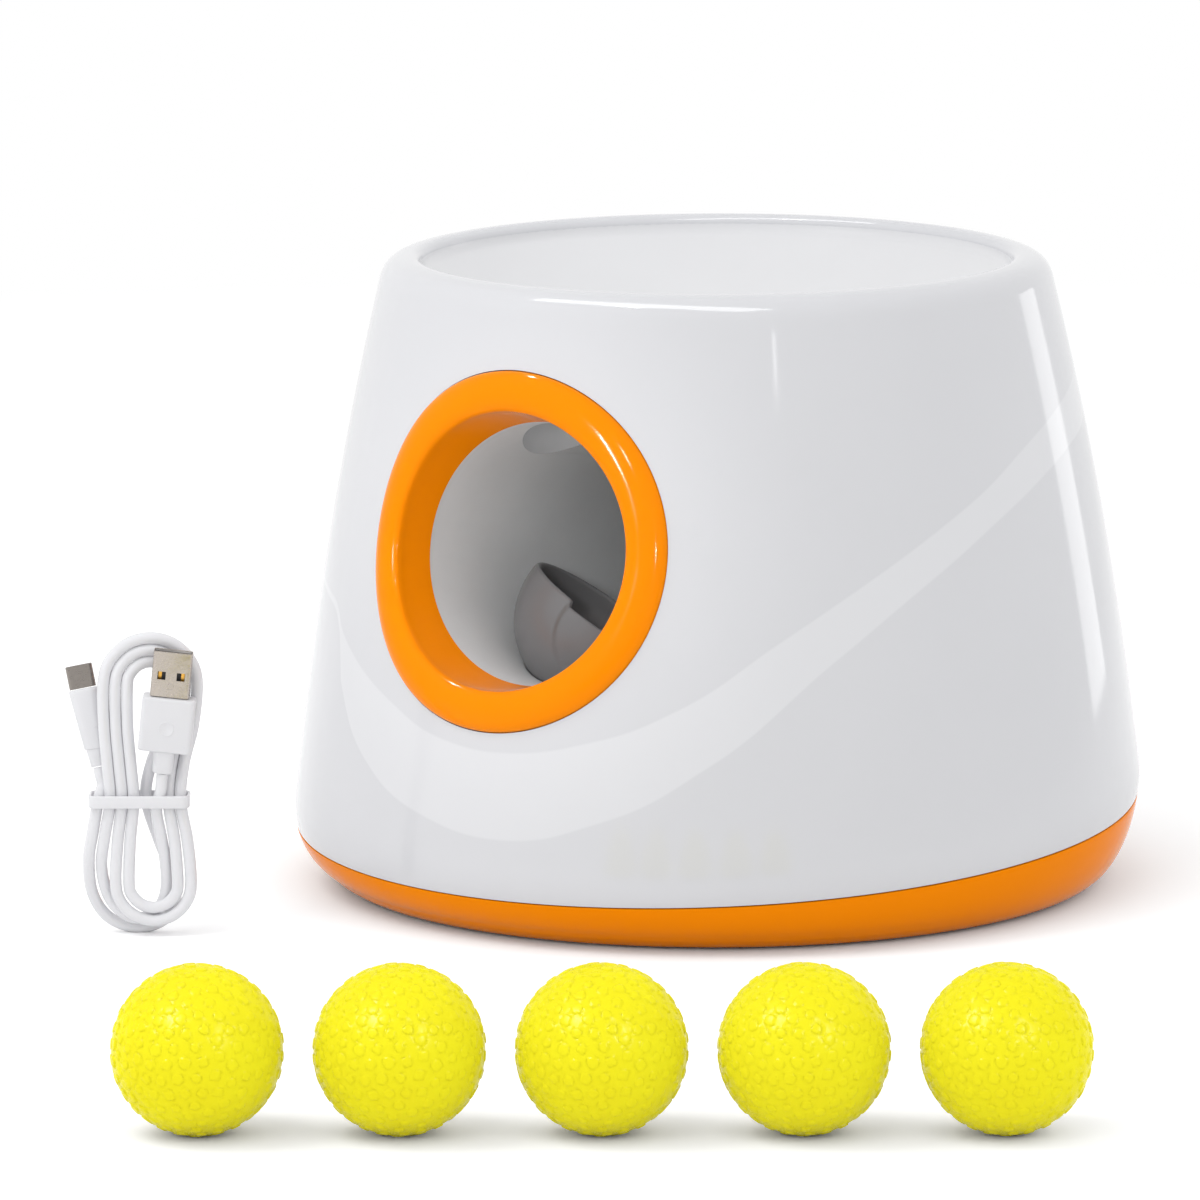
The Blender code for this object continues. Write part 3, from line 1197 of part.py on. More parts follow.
def make_inlet():
    end = BOARD_DEPTH - GAP
    start = end - INLET_LENGTH
    outline = rounded_outline(INLET_WIDTH, INLET_TALL, INLET_TALL * INLET_CORNER_SHARE)
    outside = prism_mesh(outline, -end, -start)
    outside.transform(Matrix.Rotation(math.pi / 2, 4, "X"))
    inlet = add("usb_inlet", outside, STEEL, panel_frame, (0, 0, INLET_Z))
    width = INLET_WIDTH - 2 * INLET_WALL
    tall = INLET_TALL - 2 * INLET_WALL
    hollow = prism_mesh(rounded_outline(width, tall, tall * INLET_CORNER_SHARE), -end + STEP, -start + STEP)
    hollow.transform(Matrix.Rotation(math.pi / 2, 4, "X"))
    boolean(inlet, add("inlet_tool_hollow", hollow, parent=panel_frame, place=(0, 0, INLET_Z)))


# Sensor, switch, buzzer and leads


def make_sensors():
    """A light beam crosses the collar under the hopper's hole, between an emitter and a receiver."""
    beam = aimed(rod_mesh(SENSOR_BEAM_RADIUS, -2 * DROP_RADIUS, 2 * DROP_RADIUS, 12), "X")
    boolean(bpy.data.objects["launch_barrel"], add("beam_tool", beam, place=(0, DROP_Y, SENSOR_HEIGHT)))
    start = DROP_RADIUS + COLLAR_WALL + GAP
    half = SENSOR_SIDE / 2
    for name, side in (("ball_sensor_emitter", -1), ("ball_sensor_receiver", 1)):
        ends = sorted((side * start, side * (start + SENSOR_SIDE)))
        low = (ends[0], DROP_Y - half, SENSOR_HEIGHT - half)
        high = (ends[1], DROP_Y + half, SENSOR_HEIGHT + half)
        add(name, box_mesh(low, high, STEP / 2), FRAME_BLACK, smooth=False)


def make_home_switch():
    low = Vector((SWITCH_X, SWITCH_DEPTH, -FRAME_FLOOR_DROP + FRAME_WALL + GAP))
    high = low + Vector((SWITCH_WIDTH, SWITCH_LENGTH, SWITCH_HEIGHT))
    body = add("home_switch", box_mesh(low, high, STEP / 2), BOARD, launch_frame, smooth=False)
    tip = low + Vector((STEP, -STEP, SWITCH_HEIGHT / 2))
    end = tip + Vector((SWITCH_WIDTH / 2, 2 * STEP, 2 * STEP))
    boolean(body, add("switch_tip_tool", box_mesh(tip, end), parent=launch_frame), "UNION")


def make_buzzer():
    floor_top = TRAY_LIFT + TRAY_FLOOR + GAP
    outline = [
        (0, floor_top),
        (BUZZER_RADIUS, floor_top),
        (BUZZER_RADIUS, floor_top + BUZZER_HEIGHT),
        (STEP, floor_top + BUZZER_HEIGHT),
        (STEP, floor_top + BUZZER_HEIGHT / 2),
        (0, floor_top + BUZZER_HEIGHT / 2),
    ]
    add("buzzer", turned_mesh(outline, 20, closed=False), FRAME_BLACK, place=(0, BUZZER_Y, 0))


def smooth_path(points, count, bend_reach=0.0):
    """Points of a smooth curve through the given ones, straight over the first and last half spans.

    They are spread evenly, or closer together in the bends when a bend is given a reach of its own.
    """
    middles = [points[0].lerp(points[1], 0.5), points[-1].lerp(points[-2], 0.5)]
    ends = [points[0], middles[0], *points[1:-1], middles[1], points[-1]]
    fine = []
    span_steps = 16
    for before, a, b, after in zip(ends, ends[1:], ends[2:], ends[3:]):
        for step in range(span_steps):
            t = step / span_steps
            first = 2 * a + (b - before) * t
            second = (2 * before - 5 * a + 4 * b - after) * t * t
            third = (3 * a - before - 3 * b + after) * t * t * t
            fine.append((first + second + third) / 2)
    fine.append(middles[1])
    lengths = [0.0]
    heading = fine[1] - fine[0]
    for a, b in zip(fine, fine[1:]):
        lengths.append(lengths[-1] + (b - a).length + bend_reach * heading.angle(b - a, 0.0))
        heading = b - a
    spread = [points[0]]
    at = 0
    for index in range(count - 2):
        target = lengths[-1] * index / (count - 3)
        while at < len(fine) - 2 and lengths[at + 1] < target:
            at += 1
        span = lengths[at + 1] - lengths[at]
        spread.append(fine[at].lerp(fine[at + 1], (target - lengths[at]) / span))
    return spread + [points[-1]]


def make_leads():
    """Two plain leads, from the battery and from the motor, to the back of the control board."""
    floor_top = TRAY_LIFT + TRAY_FLOOR + GAP
    back = BOARD_DEPTH + BOARD_WALL + GAP
    run = 6 * LEAD_RADIUS
    holder_end = HOLDER_Y + CELL_LENGTH / 2 + HOLDER_WALL + STEP + GAP
    low = floor_top + CELL_RADIUS
    battery_side = PANEL_WIDTH / 2 - RUN
    battery = [
        Vector((HOLDER_X, holder_end, low)),
        Vector((HOLDER_X, holder_end + run, low)),
        Vector((HOLDER_X / 2, 16 * RUN, 2 * low)),
        PANEL @ Vector((battery_side, back + 2 * run, 0)),
        PANEL @ Vector((battery_side, back + run / 2, 0)),
        PANEL @ Vector((battery_side, back, 0)),
    ]
    tube_along("battery_lead", smooth_path(battery, LEAD_STEPS), LEAD_RADIUS, CABLE)
    start = LAUNCH @ (MOTOR_PLACE + Vector((MOTOR_END_X + GAP, 0, 0)))
    motor = [
        start,
        start + Vector((run, 0, 0)),
        start + Vector((run, 6 * RUN, RUN)),
        PANEL @ Vector((-battery_side, back + 3 * run, 0)),
        PANEL @ Vector((-battery_side, back + run / 2, 0)),
        PANEL @ Vector((-battery_side, back, 0)),
    ]
    tube_along("motor_lead", smooth_path(motor, LEAD_STEPS), LEAD_RADIUS, CABLE)


# Set of balls


def make_balls():
    for index in range(BALL_COUNT):
        shift = (index - (BALL_COUNT - 1) / 2) * BALL_PITCH
        x = BALL_ROW_X + shift * math.cos(ROW_TURN)
        y = BALL_ROW_Y + shift * math.sin(ROW_TURN)
        bm = bmesh.new()
        bmesh.ops.create_icosphere(bm, subdivisions=3, radius=BALL_RADIUS)
        add(f"ball_{index + 1}", finished(bm, "ball"), FOAM, place=(x, y, BALL_RADIUS))


# Charging cable


def loop_side(centre, radius, angles, layers):
    """Points of an arc round a loop's centre, at these angles in degrees, moving between two layers."""
    points = []
    for index, angle in enumerate(angles):
        turn = math.radians(angle)
        share = index / (len(angles) - 1)
        across = centre[0] + radius * math.cos(turn)
        points.append((across, centre[1] + radius * math.sin(turn), lerp(layers[0], layers[1], share)))
    return points


def cable_route():
    """The hank wound as one strand, from the small plug's lead to the large plug's lead."""
    top = LOOP_CENTRE_TOP
    low = LOOP_CENTRE_LOW
    inner, middle, outer = LOOP_RADII
    left = WAIST_LEFT
    right = WAIST_RIGHT
    front = LAYER_FRONT
    back = LAYER_BACK
    rear = LAYER_REAR
    behind = LAYER_BEHIND
    waist = WAIST_HEIGHT
    over = range(0, 181, 30)
    under = range(180, 361, 30)
    gap = GAP / MM
    run = 4 * CABLE_RADIUS / MM
    start = Vector(PLUG_C_POINT) - PLUG_C_AXIS * gap
    finish = Vector(PLUG_A_POINT) - PLUG_A_AXIS * gap
    route = [tuple(start), tuple(start - PLUG_C_AXIS * run), (left[0], waist, 0.8)]
    route += [(-11.9, 33, 1.0), (-13.3, 24, 0.4), (-12.4, 13, -2.6), (-7.4, 4.9, -5.0), (1.4, 1.9, rear)]
    route += [(9.5, 4.4, rear), (13.0, 11.5, rear), (11.5, 20, rear), (8.0, 30, -4.2), (4.4, waist, -2.6)]
    route += [(6.2, 54, -2.6), (11.2, 66, -2.4)]
    route += loop_side(top, inner, over, (back, front))
    route += [(-0.8, 66, front), (0.1, 54, front), (left[3], waist, front), (-0.4, 30, front)]
    route += loop_side(low, LOW_RADII[0], under, (front, front))
    route += [(13.3, 30, front), (right[1], waist, 1.2), (12.5, 54, behind), (15.4, 66, behind)]
    route += loop_side(top, middle, over, (behind, front))
    route += [(-4.4, 66, front), (-3.5, 54, front), (left[2], waist, front), (-4.3, 30, front)]
    route += loop_side(low, LOW_RADII[1], under, (front, front))
    route += [(17.3, 30, front), (right[2], waist, 1.2), (16.2, 54, behind), (19.2, 66, behind)]
    route += loop_side(top, outer, over, (behind, front))
    route += [(-8.0, 66, front), (-7.1, 54, front), (left[1], waist, front)]
    route += [(-8.2, 32, 1.6), (-9.4, 22, 0.2), (-7.4, 12.4, -1.5), (-2.6, 6.8, back), (2.4, 5.4, back)]
    route += [(7.4, 7.8, back), (10.2, 14, back), (10.3, 23, -0.4), (9.0, 32, 1.2)]
    route += [(right[0], waist - 3, 1.9)]
    route += [tuple(finish - PLUG_A_AXIS * run), tuple(finish)]
    return [Vector(point) * MM for point in route]


def cable_gap(points):
    """The least gap between the strand's own runs, measured on its points and the spans between them."""
    apart = CABLE_STEPS // 24
    least = BODY_RADIUS
    for first in range(len(points) - 1):
        for second in range(first + apart, len(points) - 1):
            for share in (0, 0.5):
                near = points[first].lerp(points[first + 1], share)
                for other in (0, 0.5, 1):
                    far = points[second].lerp(points[second + 1], other)
                    least = min(least, (near - far).length)
    return least - 2 * CABLE_RADIUS


def plug_mesh(foot, axis, size, sections):
    """Rounded sections, as shares of the length, half width and half thickness, joined into one plug body."""
    across = Vector((axis.y, -axis.x, 0)).normalized()
    forward = across.cross(axis).normalized()
    length, width, thickness = size
    bm = bmesh.new()
    rings = []
    for along, wide, thick in sections:
        corner = min(width * wide, thickness * thick) / 2 * PLUG_CORNER_SHARE
        outline = rounded_outline(width * wide, thickness * thick, corner, 3)
        centre = foot + axis * length * along
        rings.append([bm.verts.new(centre + across * x + forward * y) for x, y in outline])
    for low, high in zip(rings, rings[1:]):
        for index in range(len(low)):
            after = (index + 1) % len(low)
            bm.faces.new((low[index], low[after], high[after], high[index]))
    bm.faces.new(rings[0])
    bm.faces.new(rings[-1])
    return finished(bm, "plug")


def make_plug(name, stand, point, axis, size, sections, shell_size):
    """A moulding on the cable's end, and the metal shell that stands out of it, open at the front."""
    foot = Vector(point) * MM
    add(name + "_overmould", plug_mesh(foot, axis, size, sections), CABLE, stand)
    seat = foot + axis * (size[0] + GAP)
    whole = ((0, 1, 1), (1, 1, 1))
    shell = add(name + "_shell", plug_mesh(seat, axis, shell_size, whole), STEEL, stand)
    inside = (shell_size[0], shell_size[1] - 2 * PLUG_SHELL_WALL, shell_size[2] - 2 * PLUG_SHELL_WALL)
    hollow = add(name + "_hollow_tool", plug_mesh(seat + axis * STEP, axis, inside, whole), parent=stand)
    boolean(shell, hollow)


def make_cable():
    turn = Matrix.Rotation(ROW_TURN, 4, "Z") @ Matrix.Rotation(math.pi / 2, 4, "X")
    foot = Matrix.Translation((CABLE_FOOT_X, CABLE_FOOT_Y, CABLE_FOOT_Z))
    stand = empty("cable_frame", foot @ turn)
    points = smooth_path(cable_route(), CABLE_STEPS, CABLE_BEND_REACH)
    tube_along("charging_cable", points, CABLE_RADIUS, CABLE, stand)
    length = sum((b - a).length for a, b in zip(points, points[1:]))
    print(f"charging cable: {length / MM:.1f} mm long, least gap to itself {cable_gap(points) / MM:.2f} mm")
    side = CABLE_RADIUS + GAP + TIE_WALL
    low = (WAIST_LEFT[0] * MM - side - GAP, LAYER_BACK * MM - STEP - side)
    high = (WAIST_RIGHT[-1] * MM + side + GAP, LAYER_FRONT * MM + STEP + side)
    centre = ((low[0] + high[0]) / 2, (low[1] + high[1]) / 2)
    width = high[0] - low[0]
    depth = high[1] - low[1]
    lift = WAIST_HEIGHT * MM
    half = TIE_HEIGHT / 2
    band = prism_mesh(rounded_outline(width, depth, side), -half, half)
    inside = rounded_outline(width - 2 * TIE_WALL, depth - 2 * TIE_WALL, side - TIE_WALL)
    hollow = prism_mesh(inside, -RUN, RUN)
    tie_place = Matrix.Translation((centre[0], lift, centre[1])) @ Matrix.Rotation(math.pi / 2, 4, "X")
    for mesh in (band, hollow):
        mesh.transform(tie_place)
    tie = add("cable_tie", band, CABLE, stand)
    boolean(tie, add("tie_tool", hollow, parent=stand))
    size = (PLUG_A_LENGTH, PLUG_A_WIDTH, PLUG_A_THICKNESS)
    shell_size = (PLUG_A_SHELL_LENGTH, PLUG_A_SHELL_WIDTH, PLUG_A_SHELL_THICKNESS)
    make_plug("usb_a", stand, PLUG_A_POINT, PLUG_A_AXIS, size, PLUG_A_SECTION_SHARES, shell_size)
    size = (PLUG_C_LENGTH, PLUG_C_WIDTH, PLUG_C_THICKNESS)
    shell_size = (PLUG_C_SHELL_LENGTH, PLUG_C_SHELL_WIDTH, PLUG_C_SHELL_THICKNESS)
    make_plug("usb_c", stand, PLUG_C_POINT, PLUG_C_AXIS, size, PLUG_C_SECTION_SHARES, shell_size)


# Assembly

carriage_slide = empty("carriage_slide", Matrix.Identity(4), launch_frame)
sector_pivot = empty("sector_pivot", Matrix.Translation(SECTOR_PLACE), launch_frame)
idler_pivot = empty("idler_pivot", Matrix.Translation(IDLER_PLACE), launch_frame)
motor_pivot = empty("motor_pivot", Matrix.Translation(MOTOR_PLACE), launch_frame)
power_slide = empty("power_slide", Matrix.Translation((BUTTON_X, 0, BUTTON_Z)), panel_frame)
distance_slide = empty("distance_slide", Matrix.Translation((-BUTTON_X, 0, BUTTON_Z)), panel_frame)

make_shell()
make_tray()
make_pad()
make_case_screws()
make_funnel()
make_port_ring()
make_barrel()
make_launch_cup(carriage_slide)
make_carriage(carriage_slide)
make_rack(carriage_slide)
make_frame()
make_rods()
make_launch_spring()
make_gears(sector_pivot, idler_pivot, motor_pivot)
make_bushes()
make_gearbox_plate()
make_motor()
make_battery()
make_panel()
make_buttons(power_slide, distance_slide)
make_board()
make_lenses()
make_inlet()
make_sensors()
make_home_switch()
make_buzzer()
make_leads()
make_balls()
make_cable()
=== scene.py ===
"""Looks of the ball launcher, its five balls and its charging cable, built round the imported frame.

The frame is the CAD's: the origin is on the launcher's axis at the floor, +Z is up, and the port faces
-Y. Lengths are in millimetres up to mesh_of, which writes metres.
"""

import json
from math import acos, atan, atan2, cos, degrees, hypot, pi, radians, sin, sqrt

import bmesh
import bpy
import numpy as np
from mathutils import Matrix, Vector
from mathutils.bvhtree import BVHTree

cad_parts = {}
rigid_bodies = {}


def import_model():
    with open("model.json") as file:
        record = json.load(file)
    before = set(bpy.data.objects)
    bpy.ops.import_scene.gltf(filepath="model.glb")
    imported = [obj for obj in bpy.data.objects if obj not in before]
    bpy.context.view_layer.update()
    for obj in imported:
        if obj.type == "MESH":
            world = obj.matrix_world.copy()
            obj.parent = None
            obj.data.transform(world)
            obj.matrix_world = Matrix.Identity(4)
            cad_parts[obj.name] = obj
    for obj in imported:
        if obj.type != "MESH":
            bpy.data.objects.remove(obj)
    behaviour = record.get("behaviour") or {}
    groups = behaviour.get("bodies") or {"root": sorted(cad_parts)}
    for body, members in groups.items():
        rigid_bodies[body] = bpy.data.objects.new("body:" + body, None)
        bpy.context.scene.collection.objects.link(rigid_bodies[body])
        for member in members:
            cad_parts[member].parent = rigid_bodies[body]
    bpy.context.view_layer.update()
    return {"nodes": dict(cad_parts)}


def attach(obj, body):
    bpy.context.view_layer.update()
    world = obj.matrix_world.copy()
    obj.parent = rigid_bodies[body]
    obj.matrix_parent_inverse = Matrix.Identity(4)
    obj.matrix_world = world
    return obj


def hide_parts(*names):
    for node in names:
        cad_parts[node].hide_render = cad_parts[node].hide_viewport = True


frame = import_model()

MM = 0.001
moved = Matrix.Translation


# Sizes, as in the CAD source

BALL_RADIUS = 24.0
PORT_HEIGHT = 120.7956
LAUNCH_SLOPE = radians(10.0)
BARREL_RADIUS = 40.6
BARREL_WALL = 2.2
BARREL_FLANGE = 3.4
RING_DEPTH = 20.6
RING_CREST = 3.4
RING_BORE_RADIUS = 42.8
RING_CREST_RADIUS = 49.0
RING_RADIUS = 55.3
RING_FLANGE = 5.0
CUP_RADIUS = 27.0
CUP_WALL = 2.2
CUP_DEPTH = 59.5
CUP_DROP = 19.9
CUP_RIM_NORMAL = Vector((0.474, 0.305, 0.826))
CUP_RIM_LIFT = 4.3
CUP_NOTCH_DROP = 1.8
CUP_HOLLOW_AIM = Vector((0.582, -0.811, -0.068))
CUP_HOLLOW_SPAN = 34.5
CUP_HOLLOW_DEPTH = 0.9
TRAVEL = 36.0
DROP_RADIUS = 27.0
DROP_Y = -60.0
DROP_HEIGHT = 162.9956
BODY_RADIUS = 134.0
BODY_HEIGHT = 31.9
FLOOR_RADIUS = 112.9
WALL_TOP_RADIUS = 105.9
CREST_RADIUS = 96.0
MOUTH_RADIUS = 92.9
CREST_HEIGHT = 199.2956
WALL_TOP_HEIGHT = 191.9956
WALL = 2.6
SEAM_HEIGHT = 23.85
SEAM_GAP = 0.4
SEAM_SLOPE = 0.068
TILT_START = 5.2
FUNNEL_RADIUS = 93.7
SHELF_RADIUS = 99.5
LIP_DROP = 2.9
LIP_EDGE = 3.3
LIP_UNDER = 3.7
WALL_LEAN = 0.108
RING_BORE_END = 2.72
TRAY_FOOT = 0.8
TRAY_FLOOR = 4.8
TRAY_RIM_WALL = 1.8
TRAY_RIM_RISE = 5.0
PAD_RADIUS = 100.4
PAD_DEPTH = 2.5
SCREW_CIRCLE = 110.0
SCREW_ANGLES = (45, 135, 225, 315)
SCREW_BORE = 2.0
BOSS_RADIUS = 4.6
GAP = 0.3
ROW_TURN = radians(33.5)
ROW_MIDDLE = Vector((177.0, -326.0, BALL_RADIUS))
BALL_PITCH = 56.6


# Mesh making


def lerp(a, b, share):
    return a + (b - a) * share


def smoothstep(low, high, value):
    share = min(1.0, max(0.0, (value - low) / (high - low)))
    return share * share * (3 - 2 * share)


def spin(angle, axis):
    return Matrix.Rotation(angle, 4, axis)


def mesh_of(name, points, faces):
    mesh = bpy.data.meshes.new(name)
    mesh.from_pydata([tuple(MM * value for value in point) for point in points], [], faces)
    bm = bmesh.new()
    bm.from_mesh(mesh)
    bmesh.ops.recalc_face_normals(bm, faces=bm.faces)
    bm.to_mesh(mesh)
    bm.free()
    return mesh


def loft(name, rings, closed=True, caps=False):
    """Rings of equally many points joined in order. A ring of one point is a pole."""
    points = []
    starts = []
    for ring in rings:
        starts.append(len(points))
        points += ring
    joins = [(index, index + 1) for index in range(len(rings) - 1)]
    if closed:
        joins.append((len(rings) - 1, 0))
    steps = max(len(ring) for ring in rings)
    faces = []
    for low, high in joins:
        for step in range(steps):
            after = (step + 1) % steps
            corners = []
            for ring, at in ((low, step), (low, after), (high, after), (high, step)):
                corner = starts[ring] + at % len(rings[ring])
                if corner not in corners:
                    corners.append(corner)
            faces.append(corners)
    if caps:
        faces.append(list(range(starts[0], starts[0] + steps)))
        faces.append(list(range(starts[-1], starts[-1] + steps)))
    return mesh_of(name, points, faces)


def circle(radius, height, steps, y=0.0):
    if radius == 0:
        return [(0.0, y, height)]
    turns = [2 * pi * step / steps for step in range(steps)]
    return [(radius * cos(turn), y + radius * sin(turn), height) for turn in turns]


def turned(outline, steps, closed=True):
    return loft("turned", [circle(radius, height, steps) for radius, height in outline], closed)


def rod(radius, start, end, steps):
    return turned([(0, start), (radius, start), (radius, end), (0, end)], steps, closed=False)


def prism(outline, start, end):
    rings = [[(x, y, start) for x, y in outline], [(x, y, end) for x, y in outline]]
    return loft("prism", rings, closed=False, caps=True)


def rounded(width, tall, corner, steps):
    points = []
    for quarter in range(4):
        side = (1 if quarter in (0, 3) else -1, 1 if quarter in (0, 1) else -1)
        centre = (side[0] * (width / 2 - corner), side[1] * (tall / 2 - corner))
        for step in range(steps + 1):
            turn = (quarter + step / steps) * pi / 2
            points.append((centre[0] + corner * cos(turn), centre[1] + corner * sin(turn)))
    return points


def block(low, high):
    outline = [(low[0], low[1]), (high[0], low[1]), (high[0], high[1]), (low[0], high[1])]
    return prism(outline, low[2], high[2])


def arc(centre, radii, first, last, steps):
    """Points of an ellipse in a profile, from angle to angle in degrees."""
    turns = [radians(lerp(first, last, step / steps)) for step in range(steps + 1)]
    return [(centre[0] + radii[0] * cos(turn), centre[1] + radii[1] * sin(turn)) for turn in turns]


def placed(mesh, matrix):
    """The mesh moved by a matrix whose shift is in millimetres."""
    metres = matrix.copy()
    metres.translation = matrix.translation * MM
    mesh.transform(metres)
    return mesh


def link(name, data, finish=None, sharp=0):
    """An object in the scene, with its finish and smooth up to the sharp angle where these are given."""
    obj = bpy.data.objects.new(name, data)
    bpy.context.scene.collection.objects.link(obj)
    if finish:
        data.materials.clear()
        data.materials.append(finish)
    if sharp:
        data.shade_smooth()
        data.set_sharp_from_angle(angle=radians(sharp))
    return obj


ADD = "UNION"
TAKE = "DIFFERENCE"


def cut(mesh, tools):
    """The mesh after each (operation, tool mesh) in turn, with exact booleans."""
    body = link("cut_body", mesh)
    helpers = [body]
    for operation, tool in tools:
        helper = link("cut_tool", tool)
        helpers.append(helper)
        step = body.modifiers.new("cut", "BOOLEAN")
        step.operation = operation
        step.solver = "EXACT"
        step.object = helper
    bpy.context.view_layer.update()
    result = bpy.data.meshes.new_from_object(body.evaluated_get(bpy.context.evaluated_depsgraph_get()))
    for helper in helpers:
        bpy.data.objects.remove(helper, do_unlink=True)
    return result


def curved_normals(mesh, smooth):
    """Gives the cut mesh the smooth mesh's own normals where it still lies on that surface."""
    for each in (mesh, smooth):
        each.shade_smooth()
        each.set_sharp_from_angle(angle=radians(35))
    tree = BVHTree.FromPolygons([v.co for v in smooth.vertices], [list(p.vertices) for p in smooth.polygons])
    corner_normals = [Vector(normal.vector) for normal in smooth.corner_normals]
    own = [Vector(normal.vector) for normal in mesh.corner_normals]
    reach = 0.02 * MM
    for polygon in mesh.polygons:
        for loop_index in polygon.loop_indices:
            point = mesh.vertices[mesh.loops[loop_index].vertex_index].co
            inside = point.lerp(polygon.center, 0.02)
            place, normal, found, distance = tree.find_nearest(inside)
            if distance > 5 * reach or normal.dot(polygon.normal) < 0.9:
                continue
            face = smooth.polygons[found]
            total = Vector()
            for corner in face.loop_indices:
                apart = (smooth.vertices[smooth.loops[corner].vertex_index].co - point).length
                total += corner_normals[corner] / (apart + reach) ** 2
            if total.length > 0:
                own[loop_index] = total.normalized()
    mesh.normals_split_custom_set(own)
    return mesh


# Casing surface


def profile_radius(height):
    if height < BODY_HEIGHT:
        share = 1 - height / BODY_HEIGHT
        return lerp(FLOOR_RADIUS, BODY_RADIUS, sqrt(max(0.0, 1 - share * share)))
    rise = height - BODY_HEIGHT
    span = WALL_TOP_HEIGHT - BODY_HEIGHT
    bow = (BODY_RADIUS - WALL_TOP_RADIUS) / span - WALL_LEAN
    return BODY_RADIUS - rise * (WALL_LEAN + bow * rise / span)


def tilted(y, height):
    """A height after the seam and what lies round it rise towards the back."""
    if height < SEAM_HEIGHT:
        share = max(0.0, (height - TILT_START) / (SEAM_HEIGHT - TILT_START))
    else:
        share = max(0.0, (CREST_HEIGHT - height) / (CREST_HEIGHT - SEAM_HEIGHT))
    return height + share * SEAM_SLOPE * y


def tilt(mesh):
    for vert in mesh.vertices:
        vert.co.z = MM * tilted(vert.co.y / MM, vert.co.z / MM)
    return mesh


def surface_radius(y, height):
    """The tilted wall's radius at a height."""
    span = CREST_HEIGHT - SEAM_HEIGHT
    lift = SEAM_SLOPE * y
    return profile_radius((height - lift * CREST_HEIGHT / span) / (1 - lift / span))


def wall_y(height, side):
    y = side * BODY_RADIUS
    for _ in range(20):
        y = side * surface_radius(y, height)
    return y


PANEL_HEIGHT = 78.0
PORT_MIDDLE = Vector((0, wall_y(PORT_HEIGHT, -1), PORT_HEIGHT))
LAUNCH = moved(PORT_MIDDLE) @ spin(-LAUNCH_SLOPE, "X")
PANEL_MIDDLE = (0, wall_y(PANEL_HEIGHT, 1), PANEL_HEIGHT)
PANEL_LEAN = atan2(wall_y(PANEL_HEIGHT - 1, 1) - wall_y(PANEL_HEIGHT + 1, 1), 2)
PANEL = moved(PANEL_MIDDLE) @ spin(pi, "Z") @ spin(-PANEL_LEAN, "X")
INWARD = spin(-pi / 2, "X")
UPRIGHT = spin(pi / 2, "X")
ALONG_X = spin(pi / 2, "Y")


def surface_depth(x, z):
    """How far the wall lies along the launch axis at a place across it."""
    depth = 0.0
    for _ in range(20):
        point = LAUNCH @ Vector((x, depth, z))
        depth += hypot(point.x, point.y) - surface_radius(point.y, point.z)
    return depth


def port_point(radius, turn):
    """A place on a circle that is wrapped round the wall's curve."""
    bend = abs(PORT_MIDDLE.y)
    return bend * sin(radius * cos(turn) / bend), radius * sin(turn)


# Camera

CAMERA_PITCH = 0.1682
CAMERA_YAW = -0.0123
CAMERA_ROLL = -0.0038
CAMERA_DISTANCE = 3.0
CAMERA_HEIGHT = 0.59810
CAMERA_LENS = 288.66
CAMERA_SENSOR = 36


def make_camera():
    data = bpy.data.cameras.new("camera")
    data.lens = CAMERA_LENS
    data.sensor_width = CAMERA_SENSOR
    data.clip_start = 0.1
    data.clip_end = 60
    camera = link("camera", data)
    stand = moved((0, -CAMERA_DISTANCE, CAMERA_HEIGHT)) @ spin(-CAMERA_YAW, "Z")
    lean = spin(pi / 2 - CAMERA_PITCH, "X") @ spin(CAMERA_ROLL, "Z")
    camera.matrix_world = spin(ROW_TURN, "Z") @ stand @ lean
    bpy.context.scene.camera = camera


make_camera()


# Finishes


class Nodes:
    """A node tree with short ways to add to it. A value is a number, a colour or another node's socket."""

    def __init__(self, tree):
        self.tree = tree

    def node(self, kind, **values):
        made = self.tree.nodes.new("ShaderNode" + kind)
        for key, value in values.items():
            setattr(made, key, value)
        return made

    def feed(self, value, socket):
        if isinstance(value, bpy.types.NodeSocket):
            self.tree.links.new(value, socket)
        elif isinstance(value, (int, float)):
            socket.default_value = value
        else:
            socket.default_value = (*value, 1.0)

    def fill(self, made, *values):
        """Feeds a node's first sockets and returns its first output."""
        for value, socket in zip(values, made.inputs):
            self.feed(value, socket)
        return made.outputs[0]

    def maths(self, operation, first, second):
        return self.fill(self.node("Math", operation=operation), first, second)

    def spread(self, source, low, high, first=0.3, last=0.7, clamp=True):
        """The source's range from first to last spread from low to high."""
        return self.fill(self.node("MapRange", clamp=clamp), source, first, last, low, high)

    def mix(self, share, first, second):
        made = self.node("Mix", data_type="RGBA")
        for value, index in ((share, 0), (first, 6), (second, 7)):
            self.feed(value, made.inputs[index])
        return made.outputs[2]

    def seen(self):
        """1 for the rays that show a thing, straight, in gloss or through a lens, and 0 for the rest."""
        rays = self.node("LightPath").outputs
        either = self.maths("MAXIMUM", rays["Is Camera Ray"], rays["Is Glossy Ray"])
        return self.maths("MAXIMUM", either, rays["Is Transmission Ray"])


